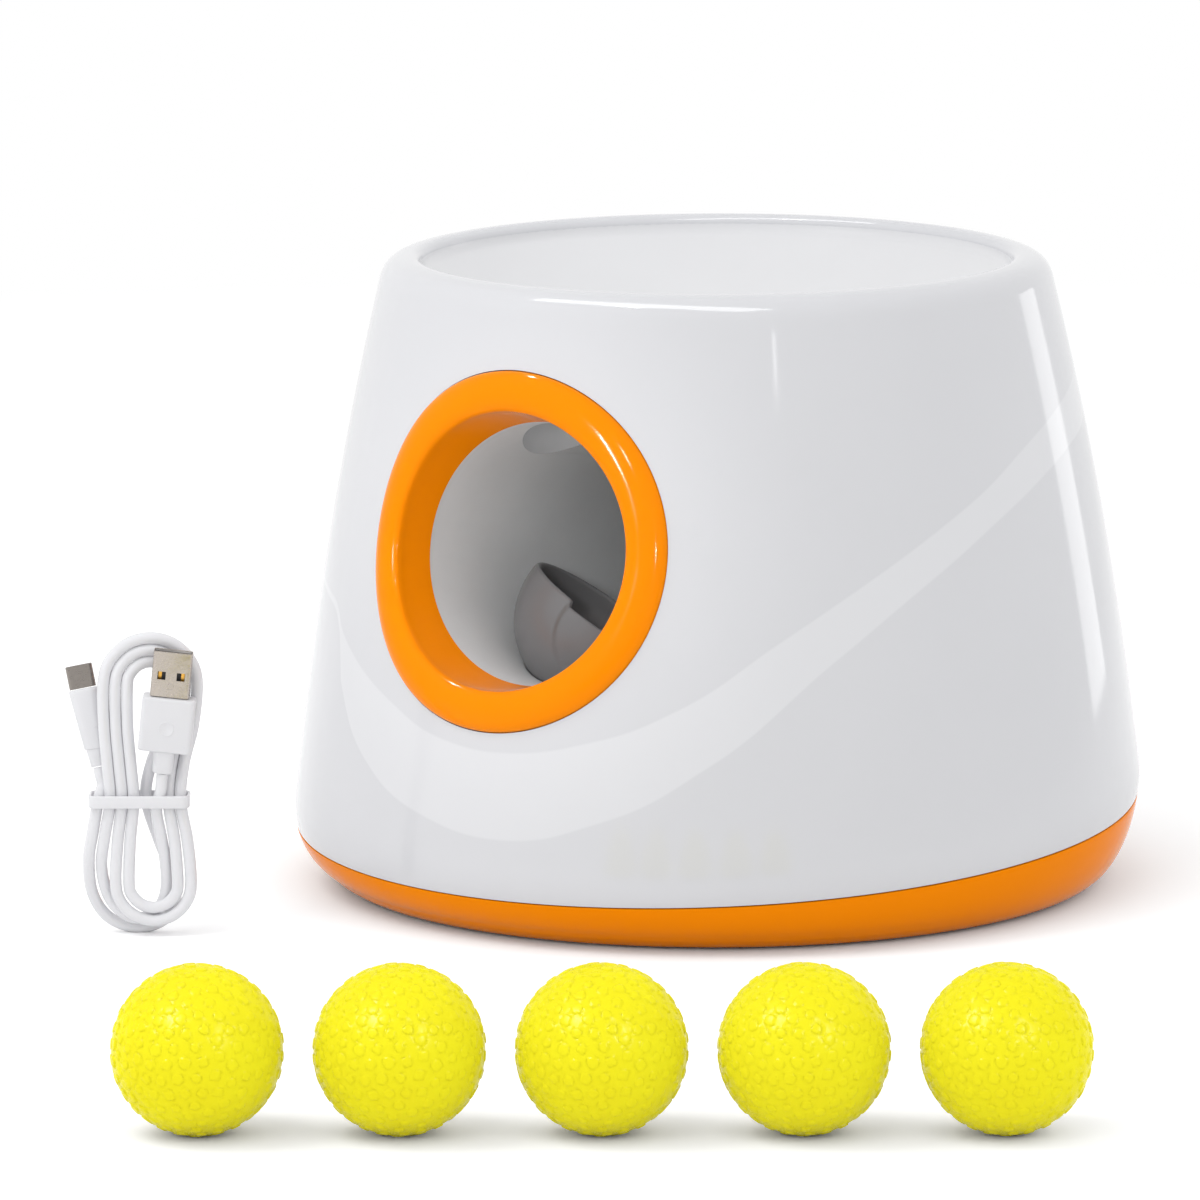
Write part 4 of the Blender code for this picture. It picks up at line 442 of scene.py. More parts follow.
class Finish(Nodes):
    """A Principled material with helpers for what varies it over the surface."""

    def __init__(self, name, color, roughness, metallic=0.0, **sockets):
        self.material = bpy.data.materials.new(name)
        self.material.use_nodes = True
        self.material.diffuse_color = (*color, 1.0)
        super().__init__(self.material.node_tree)
        self.shader = self.tree.nodes["Principled BSDF"]
        self.color = color
        self.roughness = roughness
        self.set("Base Color", color)
        self.set("Roughness", roughness)
        self.set("Metallic", metallic)
        for socket, value in sockets.items():
            self.set(socket.replace("_", " "), value)
        self.places = self.node("TexCoord").outputs["Object"]

    def set(self, socket, value):
        self.feed(value, self.shader.inputs[socket])

    def noise(self, scale, detail=3.0, rough=0.5, stretch=(1, 1, 1)):
        """Noise over the surface, in features of about 1/scale metres."""
        mapping = self.node("Mapping")
        mapping.inputs["Scale"].default_value = stretch
        self.feed(self.places, mapping.inputs["Vector"])
        texture = self.node("TexNoise")
        for value, socket in ((scale, "Scale"), (detail, "Detail"), (rough, "Roughness")):
            self.feed(value, texture.inputs[socket])
        self.feed(mapping.outputs["Vector"], texture.inputs["Vector"])
        return texture.outputs["Fac"]

    def tone(self, share, amount):
        """The base colour, a little lighter and darker along the share."""
        low = [value * (1 - amount) for value in self.color]
        high = [min(1.0, value * (1 + amount)) for value in self.color]
        return self.mix(share, low, high)

    def bump(self, height, strength, distance):
        made = self.node("Bump")
        for value, socket in ((strength, "Strength"), (distance * MM, "Distance"), (height, "Height")):
            self.feed(value, made.inputs[socket])
        return made.outputs["Normal"]

    def moulded(self, mottle=40.0, amount=0.015, grain=2500.0, grain_strength=0.05, shine=0.03):
        """Moulded plastic: a faint mottle, uneven polish, and a fine grain in the surface."""
        self.set("Base Color", self.tone(self.spread(self.noise(mottle), 0.0, 1.0), amount))
        polish = self.noise(mottle * 3, 4.0)
        self.set("Roughness", self.spread(polish, max(0.02, self.roughness - shine), self.roughness + shine))
        self.set("Normal", self.bump(self.noise(grain, 2.0), grain_strength, 0.05))
        return self

    def brushed(self, stretch, amount=0.08, shine=0.08):
        """Drawn or brushed metal: fine streaks along one direction."""
        streaks = self.noise(900.0, 4.0, 0.6, stretch)
        self.set("Base Color", self.tone(self.spread(streaks, 0.0, 1.0), amount))
        self.set("Roughness", self.spread(streaks, max(0.04, self.roughness - shine), self.roughness + shine))
        self.set("Normal", self.bump(streaks, 0.12, 0.03))
        return self

    def quiet(self, grey, share):
        """Greys what the colour bounces, so that it tints the floor and its neighbours less."""
        source = self.shader.inputs["Base Color"].links[0].from_socket
        bounced = self.node("LightPath").outputs["Is Diffuse Ray"]
        self.set("Base Color", self.mix(self.maths("MULTIPLY", bounced, share), source, (grey, grey, grey)))
        return self


# The band's edges as (angle from the port in degrees, height in mm)
BAND_TOP = (
    (-40, 96), (-34, 87), (-18, 70.4), (-6, 61.7), (3, 60.3), (17, 66), (27.5, 75.3), (43, 97),
    (60.5, 118.5), (77, 135.9), (93, 150.8), (112, 161.2), (130, 167), (180, 172),
)
BAND_LOW = (
    (-40, 94), (-32, 71), (-23, 51.3), (-10, 38.2), (3.4, 33.8), (17, 40.7), (32, 58.5), (51, 91.2),
    (70, 116.7), (87, 133.4), (102, 143.2), (114.6, 148.2), (132, 156), (180, 172),
)


def shell_finish():
    """White glossy plastic with a paler band that sweeps round the wall below the port."""
    made = Finish("white_shell", (0.685, 0.688, 0.712), 0.13)
    split = made.node("SeparateXYZ")
    made.feed(made.places, split.inputs[0])
    turn = made.maths("ARCTAN2", split.outputs["X"], made.maths("MULTIPLY", split.outputs["Y"], -1.0))
    around = made.spread(turn, 0.0, 1.0, -pi, pi, clamp=False)
    rise = made.maths("DIVIDE", split.outputs["Z"], CREST_HEIGHT * MM)
    edges = []
    for points, soft in ((BAND_LOW, 0.002), (BAND_TOP, -0.002)):
        curve = made.node("FloatCurve")
        line = curve.mapping.curves[0]
        places = [((angle + 180) / 360, height / CREST_HEIGHT) for angle, height in points]
        line.points[0].location = (0, places[0][1])
        line.points[1].location = (1, places[-1][1])
        for place in places[:-1]:
            line.points.new(*place)
        curve.mapping.update()
        made.feed(around, curve.inputs["Value"])
        edges.append(made.spread(made.maths("SUBTRACT", rise, curve.outputs[0]), 0.0, 1.0, -soft, soft))
    mottle = made.tone(made.spread(made.noise(18.0), 0.0, 1.0), 0.008)
    made.set("Base Color", made.mix(made.maths("MULTIPLY", *edges), mottle, (0.745, 0.748, 0.77)))
    made.set("Roughness", made.spread(made.noise(60.0, 4.0), 0.07, 0.10))
    made.set("Normal", made.bump(made.noise(900.0, 2.0), 0.03, 0.03))
    return made.material


def ball_finish():
    """Soft dyed foam with a fine open skin."""
    made = Finish("yellow_ball", (1.0, 0.895, 0.018), 0.26, Specular_IOR_Level=0.03)
    made.set("Base Color", made.tone(made.spread(made.noise(60.0, 4.0), 0.0, 1.0), 0.03))
    cells = made.noise(2200.0, 3.0)
    made.set("Normal", made.bump(cells, 0.12, 0.06))
    made.set("Roughness", made.spread(cells, 0.2, 0.32))
    return made.quiet(0.55, 0.85).material


def board_finish():
    """Green board with copper runs under the mask."""
    green = (0.02, 0.16, 0.07)
    made = Finish("board_green", green, 0.4)
    runs = made.node("TexBrick")
    made.feed(260.0, runs.inputs["Scale"])
    made.feed(0.03, runs.inputs["Mortar Size"])
    made.feed(made.places, runs.inputs["Vector"])
    made.set("Base Color", made.mix(runs.outputs["Fac"], green, (0.05, 0.28, 0.12)))
    made.set("Normal", made.bump(runs.outputs["Fac"], 0.2, 0.05))
    return made.material


# Plastics: colour, roughness, then mottle, its amount, grain, its strength and the spread of polish
PLASTICS = {
    "inner_white": ((0.75, 0.753, 0.77), 0.2, 30.0, 0.01, 900.0, 0.03),
    "grey_barrel": ((0.805, 0.82, 0.825), 0.42, 60.0, 0.02, 1800.0, 0.1, 0.05),
    # The throat's wall is the barrel's grey painted darker: painted shade over the light that falls in from
    # the hopper.
    "throat_grey": ((0.48, 0.485, 0.49), 0.5, 60.0, 0.03, 1800.0, 0.1, 0.05),
    "dark_grey": ((0.165, 0.165, 0.17), 0.36, 60.0, 0.04, 2000.0, 0.15, 0.05),
    "frame_black": ((0.03, 0.03, 0.032), 0.5, 60.0, 0.06, 1500.0, 0.25, 0.06),
    "gear_acetal": ((0.75, 0.74, 0.70), 0.35, 80.0, 0.03, 2500.0, 0.1, 0.05),
    "rubber_pad": ((0.04, 0.04, 0.04), 0.85, 50.0, 0.15, 1200.0, 0.5, 0.08),
    "cell_wrap": ((0.05, 0.20, 0.45), 0.3, 40.0, 0.05, 600.0, 0.1, 0.05),
    "cable_white": ((0.81, 0.81, 0.835), 0.16, 70.0, 0.006, 2600.0, 0.03, 0.03),
    "plug_white": ((0.79, 0.79, 0.815), 0.3, 90.0, 0.006, 2200.0, 0.03, 0.03),
    "plug_tongue": ((0.05, 0.05, 0.055), 0.5),
}
# Metals: colour, roughness, then the streaks' stretch, their amount and the spread of polish
METALS = {
    "steel": ((0.60, 0.60, 0.62), 0.28, (1, 0.05, 1)),
    "bush_bronze": ((0.60, 0.40, 0.18), 0.35, (0.1, 1, 1)),
    "plug_steel": ((0.46, 0.415, 0.375), 0.27, (0.08, 1, 1), 0.05, 0.06),
    "plug_dark_steel": ((0.27, 0.245, 0.225), 0.3, (0.08, 1, 1), 0.05, 0.06),
    "contact_gold": ((0.80, 0.45, 0.10), 0.3, (1, 0.1, 1)),
}


def make_finishes():
    trim = Finish("orange_trim", (1.0, 0.268, 0.001), 0.14, Specular_IOR_Level=0.02)
    ring = Finish("ring_orange", (1.0, 0.27, 0.001), 0.1, Specular_IOR_Level=0.05)
    lens = Finish("lens_clear", (0.75, 0.85, 0.80), 0.15, Transmission_Weight=0.6)
    made = {
        "banded_shell": shell_finish(),
        "orange_trim": trim.moulded(30.0, 0.01, 1200.0, 0.02).quiet(0.38, 0.8).material,
        "ring_orange": ring.moulded(30.0, 0.01, 1200.0, 0.01).quiet(0.55, 0.7).material,
        "lens_clear": lens.moulded(200.0, 0.02).material,
        "board_green": board_finish(),
        "yellow_ball": ball_finish(),
    }
    for name, (color, roughness, *grain) in PLASTICS.items():
        made[name] = Finish(name, color, roughness).moulded(*grain).material
    for name, (color, roughness, *streaks) in METALS.items():
        made[name] = Finish(name, color, roughness, 1.0).brushed(*streaks).material
    made["white_shell"] = made["inner_white"]
    return made


FINISHES = make_finishes()


def dress(name, mesh, body, finish, replaced=(), sharp=35):
    """A finished piece on its body, which stands for the CAD nodes that it replaces."""
    obj = link(name, mesh, FINISHES[finish], sharp)
    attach(obj, body)
    if replaced:
        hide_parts(*replaced)
    return obj


# Cable: its route is the CAD's, as (across, up, forward)

CABLE_FOOT = (-98.3, -177.9, -0.35)
CABLE_RADIUS = 1.45
CABLE_THICKNESS = 3.66
LOOP_TOP = (6.2, 79.1)
LOOP_LOW = (6.6, 17.0)
LOOP_RADII = (6.9, 10.6, 14.3)
LOW_RADII = (7.5, 11.6)
WAIST_HEIGHT = 43.0
WAIST_LEFT = (-10.1, -6.4, -2.8, 0.8)
WAIST_RIGHT = (7.8, 11.5, 15.2)
LAYER_FRONT = 1.8
LAYER_BACK = -1.8
LAYER_REAR = -5.4
LAYER_BEHIND = -2.0
PLUG_A_POINT = Vector((9.9, 52.2, 3.8))
PLUG_C_POINT = Vector((-10.0, 53.2, -1.6))
PLUG_A_AXIS = Vector((0.104, 0.98, 0.06)).normalized()
PLUG_C_AXIS = Vector((-0.197, 0.98, -0.14)).normalized()
TIE_HEIGHT = 3.9
TIE_WALL = 0.9
STAND = moved(CABLE_FOOT) @ spin(ROW_TURN, "Z") @ UPRIGHT


def loop_side(centre, radius, angles, layers):
    """Part of a loop that passes evenly from one layer of the bundle to another."""
    points = []
    for index, angle in enumerate(angles):
        turn = radians(angle)
        share = index / (len(angles) - 1)
        across = centre[0] + radius * cos(turn)
        points.append((across, centre[1] + radius * sin(turn), lerp(*layers, share)))
    return points


def cable_route():
    inner, middle, outer = LOOP_RADII
    left, right, waist = WAIST_LEFT, WAIST_RIGHT, WAIST_HEIGHT
    front, back, rear, behind = LAYER_FRONT, LAYER_BACK, LAYER_REAR, LAYER_BEHIND
    over = range(0, 181, 30)
    under = range(180, 361, 30)
    run = 4 * CABLE_RADIUS
    start = PLUG_C_POINT - PLUG_C_AXIS * GAP
    finish = PLUG_A_POINT - PLUG_A_AXIS * GAP
    route = [tuple(start), tuple(start - PLUG_C_AXIS * run), (left[0], waist, 0.8)]
    route += [(-11.9, 33, 1.0), (-13.3, 24, 0.4), (-12.4, 13, -2.6), (-7.4, 4.9, -5.0), (1.4, 1.9, rear)]
    route += [(9.5, 4.4, rear), (13.0, 11.5, rear), (11.5, 20, rear), (8.0, 30, -4.2), (4.4, waist, -2.6)]
    route += [(6.2, 54, -2.6), (11.2, 66, -2.4)]
    route += loop_side(LOOP_TOP, inner, over, (back, front))
    route += [(-0.8, 66, front), (0.1, 54, front), (left[3], waist, front), (-0.4, 30, front)]
    route += loop_side(LOOP_LOW, LOW_RADII[0], under, (front, front))
    route += [(13.3, 30, front), (right[1], waist, 1.2), (12.5, 54, behind), (15.4, 66, behind)]
    route += loop_side(LOOP_TOP, middle, over, (behind, front))
    route += [(-4.4, 66, front), (-3.5, 54, front), (left[2], waist, front), (-4.3, 30, front)]
    route += loop_side(LOOP_LOW, LOW_RADII[1], under, (front, front))
    route += [(17.3, 30, front), (right[2], waist, 1.2), (16.2, 54, behind), (19.2, 66, behind)]
    route += loop_side(LOOP_TOP, outer, over, (behind, front))
    route += [(-8.0, 66, front), (-7.1, 54, front), (left[1], waist, front)]
    route += [(-8.2, 32, 1.6), (-9.4, 22, 0.2), (-7.4, 12.4, -1.5), (-2.6, 6.8, back), (2.4, 5.4, back)]
    route += [(7.4, 7.8, back), (10.2, 14, back), (10.3, 23, -0.4), (9.0, 32, 1.2)]
    route += [(right[0], waist - 3, 1.9), tuple(finish - PLUG_A_AXIS * run), tuple(finish)]
    return [Vector(point) for point in route]


def smooth_path(points):
    """A smooth curve through the given points, straight over the first and last half spans."""
    span_steps = 10
    middles = [points[0].lerp(points[1], 0.5), points[-1].lerp(points[-2], 0.5)]
    ends = [points[0], middles[0], *points[1:-1], middles[1], points[-1]]
    fine = [points[0]]
    for before, a, b, after in zip(ends, ends[1:], ends[2:], ends[3:]):
        for step in range(span_steps):
            t = step / span_steps
            first = 2 * a + (b - before) * t
            second = (2 * before - 5 * a + 4 * b - after) * t * t
            third = (3 * a - before - 3 * b + after) * t * t * t
            fine.append((first + second + third) / 2)
    return fine + [middles[1], points[-1]]


def tube(name, points, thickness, finish):
    curve = bpy.data.curves.new(name, "CURVE")
    curve.dimensions = "3D"
    curve.bevel_depth = thickness * MM / 2
    curve.bevel_resolution = 6
    curve.use_fill_caps = True
    spline = curve.splines.new("POLY")
    spline.points.add(len(points) - 1)
    for target, point in zip(spline.points, points):
        target.co = (*(point * MM), 1.0)
    spline.use_smooth = True
    return link(name, curve, finish)


def plug_frame(point, axis):
    """Across, thickness and length of a plug, as X, Y and Z of its own frame."""
    across = Vector((axis.y, -axis.x, 0)).normalized()
    forward = across.cross(axis).normalized()
    turn = Matrix((across, forward, axis)).transposed().to_4x4()
    return STAND @ moved(point) @ turn


def sections(rows):
    """A body through rounded sections, each (along, width, thickness, corner)."""
    rings = []
    for along, width, thickness, corner in rows:
        outline = rounded(width, thickness, min(corner, 0.499 * min(width, thickness)), 8)
        rings.append([(x, y, along) for x, y in outline])
    return loft("sections", rings, closed=False, caps=True)


def closed_shell(outer, inner, start, length):
    """A thin sleeve, closed at its foot and open at its mouth."""
    end = start + length
    middle = [((a[0] + b[0]) / 2, (a[1] + b[1]) / 2) for a, b in zip(outer, inner)]
    levels = ((outer, start), (outer, end - 0.2), (middle, end), (inner, end - 0.2), (inner, start + 0.5))
    rings = [[(x, y, along) for x, y in outline] for outline, along in levels]
    return loft("sleeve", rings, closed=False, caps=True)


def make_usb_a():
    place = plug_frame(PLUG_A_POINT, PLUG_A_AXIS)

    def detail(name, mesh, finish, slot, lift=None):
        turn = moved(lift) @ INWARD if lift else Matrix()
        dress(name, placed(mesh, place @ turn), "cable", finish)

    rows = [(0, 5.4, 4.6, 1.5), (0.25, 6.0, 4.8, 1.7), (0.6, 6.2, 5.0, 1.9), (6.2, 6.4, 5.2, 1.9)]
    rows += [(6.85, 6.4, 5.2, 1.9), (6.95, 15.2, 6.2, 1.0), (7.05, 15.9, 6.7, 1.2), (7.35, 16.3, 7.2, 1.4)]
    rows += [(7.8, 16.4, 7.4, 1.5), (22.9, 16.4, 7.4, 1.5), (23.6, 16.3, 7.3, 1.4), (23.85, 16.0, 7.0, 1.2)]
    rows += [(24.0, 15.4, 6.4, 1.0)]
    body = placed(sections(rows), place)
    mould = dress("usb_a_mould", body, "cable", "plug_white", ["usb_a_overmould"])
    disc = turned([(0, 0), (2.5, 0), (2.5, 0.1), (2.35, 0.2), (2.1, 0.2), (1.95, 0.1), (0, 0.1)], 48, False)
    detail("usb_a_raised_ring", disc, "plug_white", "plug_white", (0, 3.66, 14.6))
    start = 24.3
    sleeve = closed_shell(rounded(12.0, 4.5, 0.7, 6), rounded(11.3, 3.8, 0.4, 6), start, 14.2)
    windows = []
    for x in (-2.95, 2.95):
        windows.append((TAKE, block((x - 1.25, -4.0, start + 5.4), (x + 1.25, 4.0, start + 7.9))))
    sleeve = placed(cut(sleeve, windows), place)
    metal = dress("usb_a_metal", sleeve, "cable", "plug_steel", ["usb_a_shell"], 30)
    stamp = [(0, 0), (1.1, 0), (1.0, 0.06), (0.85, 0.06), (0.75, 0), (0.75, -0.04), (0, -0.04)]
    detail("usb_a_stamp", turned(stamp, 40, False), "plug_steel", "steel", (0, 2.27, start + 3.3))
    tongue = block((-5.3, -1.7, start + 0.6), (5.3, 0.3, start + 13.2))
    detail("usb_a_tongue", tongue, "plug_tongue", "frame_black")
    tip = block((-5.5, -1.8, start + 13.3), (5.5, 0.9, start + 14.1))
    detail("usb_a_tongue_tip", tip, "plug_dark_steel", "steel")
    for index, x in enumerate((-3.5, -1.0, 1.0, 3.5), start=1):
        strip = block((x - 0.5, 0.3, start + 1.5), (x + 0.5, 0.42, start + 12.6))
        detail(f"usb_a_contact_{index}", strip, "contact_gold", "bush_bronze")
    return mould, metal


def make_usb_c():
    place = plug_frame(PLUG_C_POINT, PLUG_C_AXIS)
    rows = [(0, 4.4, 4.0, 1.9), (0.3, 4.8, 4.3, 2.1), (5.2, 5.6, 4.8, 2.2), (5.5, 5.6, 4.8, 2.2)]
    rows += [(5.65, 6.3, 5.3, 2.3), (6.0, 6.7, 5.45, 2.4), (23.2, 9.15, 6.0, 2.6), (23.8, 9.1, 5.9, 2.5)]
    rows += [(24.2, 8.6, 5.4, 2.2)]
    body = placed(sections(rows), place)
    mould = dress("usb_c_mould", body, "cable", "plug_white", ["usb_c_overmould"])
    start = 24.5
    sleeve = closed_shell(rounded(8.3, 2.6, 1.29, 10), rounded(7.6, 1.9, 0.94, 10), start, 7.2)
    sleeve = placed(sleeve, place)
    metal = dress("usb_c_metal", sleeve, "cable", "plug_dark_steel", ["usb_c_shell"], 30)
    tongue = placed(prism(rounded(6.6, 0.7, 0.3, 4), start + 0.6, start + 6.2), place)
    dress("usb_c_tongue", tongue, "cable", "plug_tongue")
    return mould, metal


def make_tie():
    """A flat band round the waist, its edges rounded, as shares of its wall and height."""
    side = CABLE_RADIUS + GAP + TIE_WALL
    low = (WAIST_LEFT[0] - side - GAP, LAYER_BACK - 1 - side)
    high = (WAIST_RIGHT[-1] + side + GAP, LAYER_FRONT + 1 + side)
    width, depth = (high[axis] - low[axis] for axis in (0, 1))
    edge = ((0.0, 0.38), (0.12, 0.46), (0.35, 0.5), (0.65, 0.5), (0.88, 0.46), (1.0, 0.38))
    loops = []
    for inset, height in ((0.0, -0.38), *edge, *((inset, -height) for inset, height in edge[:0:-1])):
        cut_in = inset * TIE_WALL
        outline = rounded(width - 2 * cut_in, depth - 2 * cut_in, side - cut_in, 16)
        loops.append([(x, y, height * TIE_HEIGHT) for x, y in outline])
    middle = moved(((low[0] + high[0]) / 2, WAIST_HEIGHT, (low[1] + high[1]) / 2))
    mesh = placed(loft("tie", loops), STAND @ middle @ UPRIGHT)
    return dress("cable_tie_band", mesh, "cable", "cable_white", ["cable_tie"])


def make_cable():
    points = [STAND @ point for point in smooth_path(cable_route())]
    cable = tube("cable_strand", points, CABLE_THICKNESS, FINISHES["cable_white"])
    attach(cable, "cable")
    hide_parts("charging_cable")
    moulds = make_usb_a() + make_usb_c()
    tie = make_tie()


make_cable()


# Casing


def screw_places():
    """The turn and the place of each screw round the base."""
    turns = [radians(angle) for angle in SCREW_ANGLES]
    return [(turn, (SCREW_CIRCLE * cos(turn), SCREW_CIRCLE * sin(turn), 0)) for turn in turns]


def boss_tools():
    """The screw bosses inside the casing, each with a fin to the wall and a bore for its screw."""
    tools = []
    foot = SEAM_HEIGHT + TRAY_RIM_RISE + BODY_RADIUS * SEAM_SLOPE + GAP
    top = 51.0
    for turn, middle in screw_places():
        place = moved(middle)
        reaches = [surface_radius(middle[1], height) - WALL / 2 - SCREW_CIRCLE for height in (foot, top)]
        fin = prism([(0, foot), (reaches[0], foot), (reaches[1], top), (0, top)], -1.2, 1.2)
        tools.append((ADD, placed(rod(BOSS_RADIUS, 8, top + 1, 32), place)))
        tools.append((ADD, placed(fin, place @ spin(turn, "Z") @ UPRIGHT)))
        tools.append((TAKE, placed(rod(SCREW_BORE, 3, 27, 24), place)))
    return tools


def shell_outline():
    edge = SEAM_HEIGHT + SEAM_GAP / 2
    foot = profile_radius(edge)
    outer = [(foot - 0.45, edge), (foot - 0.15, edge + 0.08), (foot, edge + 0.35)]
    rows = 44
    for row in range(1, rows + 1):
        height = lerp(edge, WALL_TOP_HEIGHT, row / rows)
        outer.append((profile_radius(height), height))
    slope = profile_radius(WALL_TOP_HEIGHT) - profile_radius(WALL_TOP_HEIGHT - 1)
    bend = (WALL_TOP_RADIUS + slope * (CREST_HEIGHT - WALL_TOP_HEIGHT), CREST_HEIGHT)
    wall_top = outer[-1]
    lip_rows = 16
    for row in range(1, lip_rows + 1):
        share = row / lip_rows
        first = [lerp(a, b, share) for a, b in zip(wall_top, bend)]
        second = [lerp(a, b, share) for a, b in zip(bend, (CREST_RADIUS, CREST_HEIGHT))]
        outer.append(tuple(lerp(a, b, share) for a, b in zip(first, second)))
    lip = CREST_RADIUS - MOUTH_RADIUS
    for angle in range(15, 91, 15):
        turn = radians(angle)
        outer.append((CREST_RADIUS - lip * sin(turn), CREST_HEIGHT - LIP_DROP * (1 - cos(turn))))
    under = CREST_HEIGHT - LIP_UNDER
    inner = [(MOUTH_RADIUS + 0.1, CREST_HEIGHT - LIP_EDGE), (FUNNEL_RADIUS, under), (SHELF_RADIUS, under)]
    for row in range(16, -1, -1):
        height = lerp(BODY_HEIGHT, WALL_TOP_HEIGHT - WALL / 2, row / 16)
        inner.append((profile_radius(height) - WALL, height))
    inner.append((foot - WALL, edge))
    return outer + inner


PANEL_WIDTH = 62.0
PANEL_TALL = 34.0
PANEL_CORNER = 8.0
PANEL_BACK = 8.4


def make_shell():
    smooth = tilt(turned(shell_outline(), 288))
    steps = 160
    outline = [port_point(RING_RADIUS + GAP, 2 * pi * step / steps) for step in range(steps)]
    hole = placed(prism(outline, -40, 15), LAUNCH @ UPRIGHT)
    outline = rounded(PANEL_WIDTH + 2 * GAP, PANEL_TALL + 2 * GAP, PANEL_CORNER, 12)
    window = placed(prism(outline, -PANEL_BACK - 5, 10), PANEL @ UPRIGHT)
    tools = boss_tools() + [(TAKE, hole), (TAKE, window)]
    mesh = curved_normals(cut(smooth.copy(), tools), smooth)
    dress("shell_body", mesh, "launcher", "banded_shell", ["outer_shell"], 0)


def tray_outline():
    rim = SEAM_HEIGHT - SEAM_GAP / 2
    rows = 28
    outer = []
    for row in range(rows + 1):
        height = lerp(TRAY_FOOT, rim - 0.3, 1 - cos(pi / 2 * row / rows))
        outer.append((profile_radius(height), height))
    top = profile_radius(rim)
    outer += [(top - 0.12, rim - 0.08), (top - 0.4, rim)]
    edge = top - WALL - GAP
    rim_top = rim + TRAY_RIM_RISE
    inner = [(edge, rim), (edge, rim_top), (edge - TRAY_RIM_WALL, rim_top)]
    for row in range(18, 0, -1):
        height = lerp(TRAY_FOOT, rim, 1 - cos(pi / 2 * row / 22))
        radius = profile_radius(height) - WALL - GAP - TRAY_RIM_WALL
        if height + WALL > TRAY_FLOOR:
            inner.append((radius, height + WALL))
    inner += [(FLOOR_RADIUS - WALL, TRAY_FLOOR), (0, TRAY_FLOOR)]
    foot = [(0, PAD_DEPTH), (PAD_RADIUS, PAD_DEPTH), (PAD_RADIUS, TRAY_FOOT)]
    return foot + outer + inner


def make_tray():
    smooth = tilt(turned(tray_outline(), 288, closed=False))
    tools = []
    for turn, middle in screw_places():
        place = moved(middle)
        tools.append((ADD, placed(rod(BOSS_RADIUS, 2.8, 7.7, 32), place)))
        tools.append((TAKE, placed(rod(3.7, -5, 4.6, 32), place)))
        tools.append((TAKE, placed(rod(SCREW_BORE, 0, 10, 24), place)))
    mesh = curved_normals(cut(smooth.copy(), tools), smooth)
    dress("tray_body", mesh, "launcher", "orange_trim", ["base_tray"], 0)


def make_funnel():
    top = CREST_HEIGHT - LIP_UNDER - GAP
    lip = CREST_HEIGHT - LIP_DROP
    fillet = ((0.3, 0.25), (0.02, 0.15), (-0.06, -0.5), (-0.28, -1.2), (-0.72, -2.0), (-1.4, -2.8))
    rings = [(MOUTH_RADIUS + out, 0, lip + up) for out, up in fillet]
    rows = 48
    for row in range(2, rows + 1):
        share = row / rows
        height = lerp(top, DROP_HEIGHT, sin(share * pi / 2))
        shift = lerp(0, DROP_Y, smoothstep(0, 1, share))
        rings.append((lerp(FUNNEL_RADIUS, DROP_RADIUS, share), shift, height))
    rings.append((DROP_RADIUS, DROP_Y, DROP_HEIGHT - 0.4))
    rings.append((DROP_RADIUS, DROP_Y, DROP_HEIGHT - 3.0))
    outer = [(radius + 2, y, height - 1) for radius, y, height in rings[12:-2:4]]
    outer.append((DROP_RADIUS + 2, DROP_Y, DROP_HEIGHT - 3.0))
    flange = [(FUNNEL_RADIUS + 5, 0, top), (FUNNEL_RADIUS + 5, 0, top - 2), (FUNNEL_RADIUS + 2, 0, top - 2)]
    loop = rings + outer[::-1] + flange[::-1]
    mesh = loft("funnel", [circle(radius, height, 160, y) for radius, y, height in loop])
    dress("hopper_bowl_piece", mesh, "launcher", "white_shell", ["hopper_funnel"], 40)


def make_ring():
    """Rows are (radius, depth past the wall, share of the way from the bore's end to the barrel)."""
    back = WALL + 2 * GAP
    rows = [(RING_RADIUS, back, None), (RING_RADIUS, 0.2, None)]
    bead = RING_RADIUS - RING_CREST_RADIUS
    rows += [(*point, None) for point in arc((RING_CREST_RADIUS, 0), (bead, -RING_CREST), 6, 90, 14)]
    inner = RING_CREST_RADIUS - RING_BORE_RADIUS
    rows += [(*point, None) for point in arc((RING_CREST_RADIUS, 0), (inner, -RING_CREST), 97, 172, 12)]
    rows += [(RING_BORE_RADIUS, 1.2, None), (RING_BORE_RADIUS - 0.05, RING_BORE_END, None)]
    for share in (0.25, 0.5, 0.75, 1.0):
        rows.append((lerp(RING_BORE_RADIUS, BARREL_RADIUS, share), None, share))
    rows += [(BARREL_RADIUS + BARREL_FLANGE, None, 1.0), (BARREL_RADIUS + BARREL_FLANGE, back + 2, None)]
    rows += [(RING_RADIUS + RING_FLANGE, back + 2, None), (RING_RADIUS + RING_FLANGE, back, None)]
    steps = 192
    rings = []
    for radius, offset, share in rows:
        ring = []
        for step in range(steps):
            x, z = port_point(radius, 2 * pi * step / steps)
            slant = sqrt(1 - (x / PORT_MIDDLE.y) ** 2)
            if offset is None:
                y = lerp(surface_depth(x, z) + RING_BORE_END / slant, RING_DEPTH, share)
            else:
                y = surface_depth(x, z) + offset / slant
            ring.append((x, y, z))
        rings.append(ring)
    mesh = placed(loft("ring", rings), LAUNCH)
    dress("port_trim_ring", mesh, "launcher", "ring_orange", ["port_ring"], 50)


BARREL_START = RING_DEPTH + GAP
BARREL_END = 139.9
SLOT_FRONT = 17.9


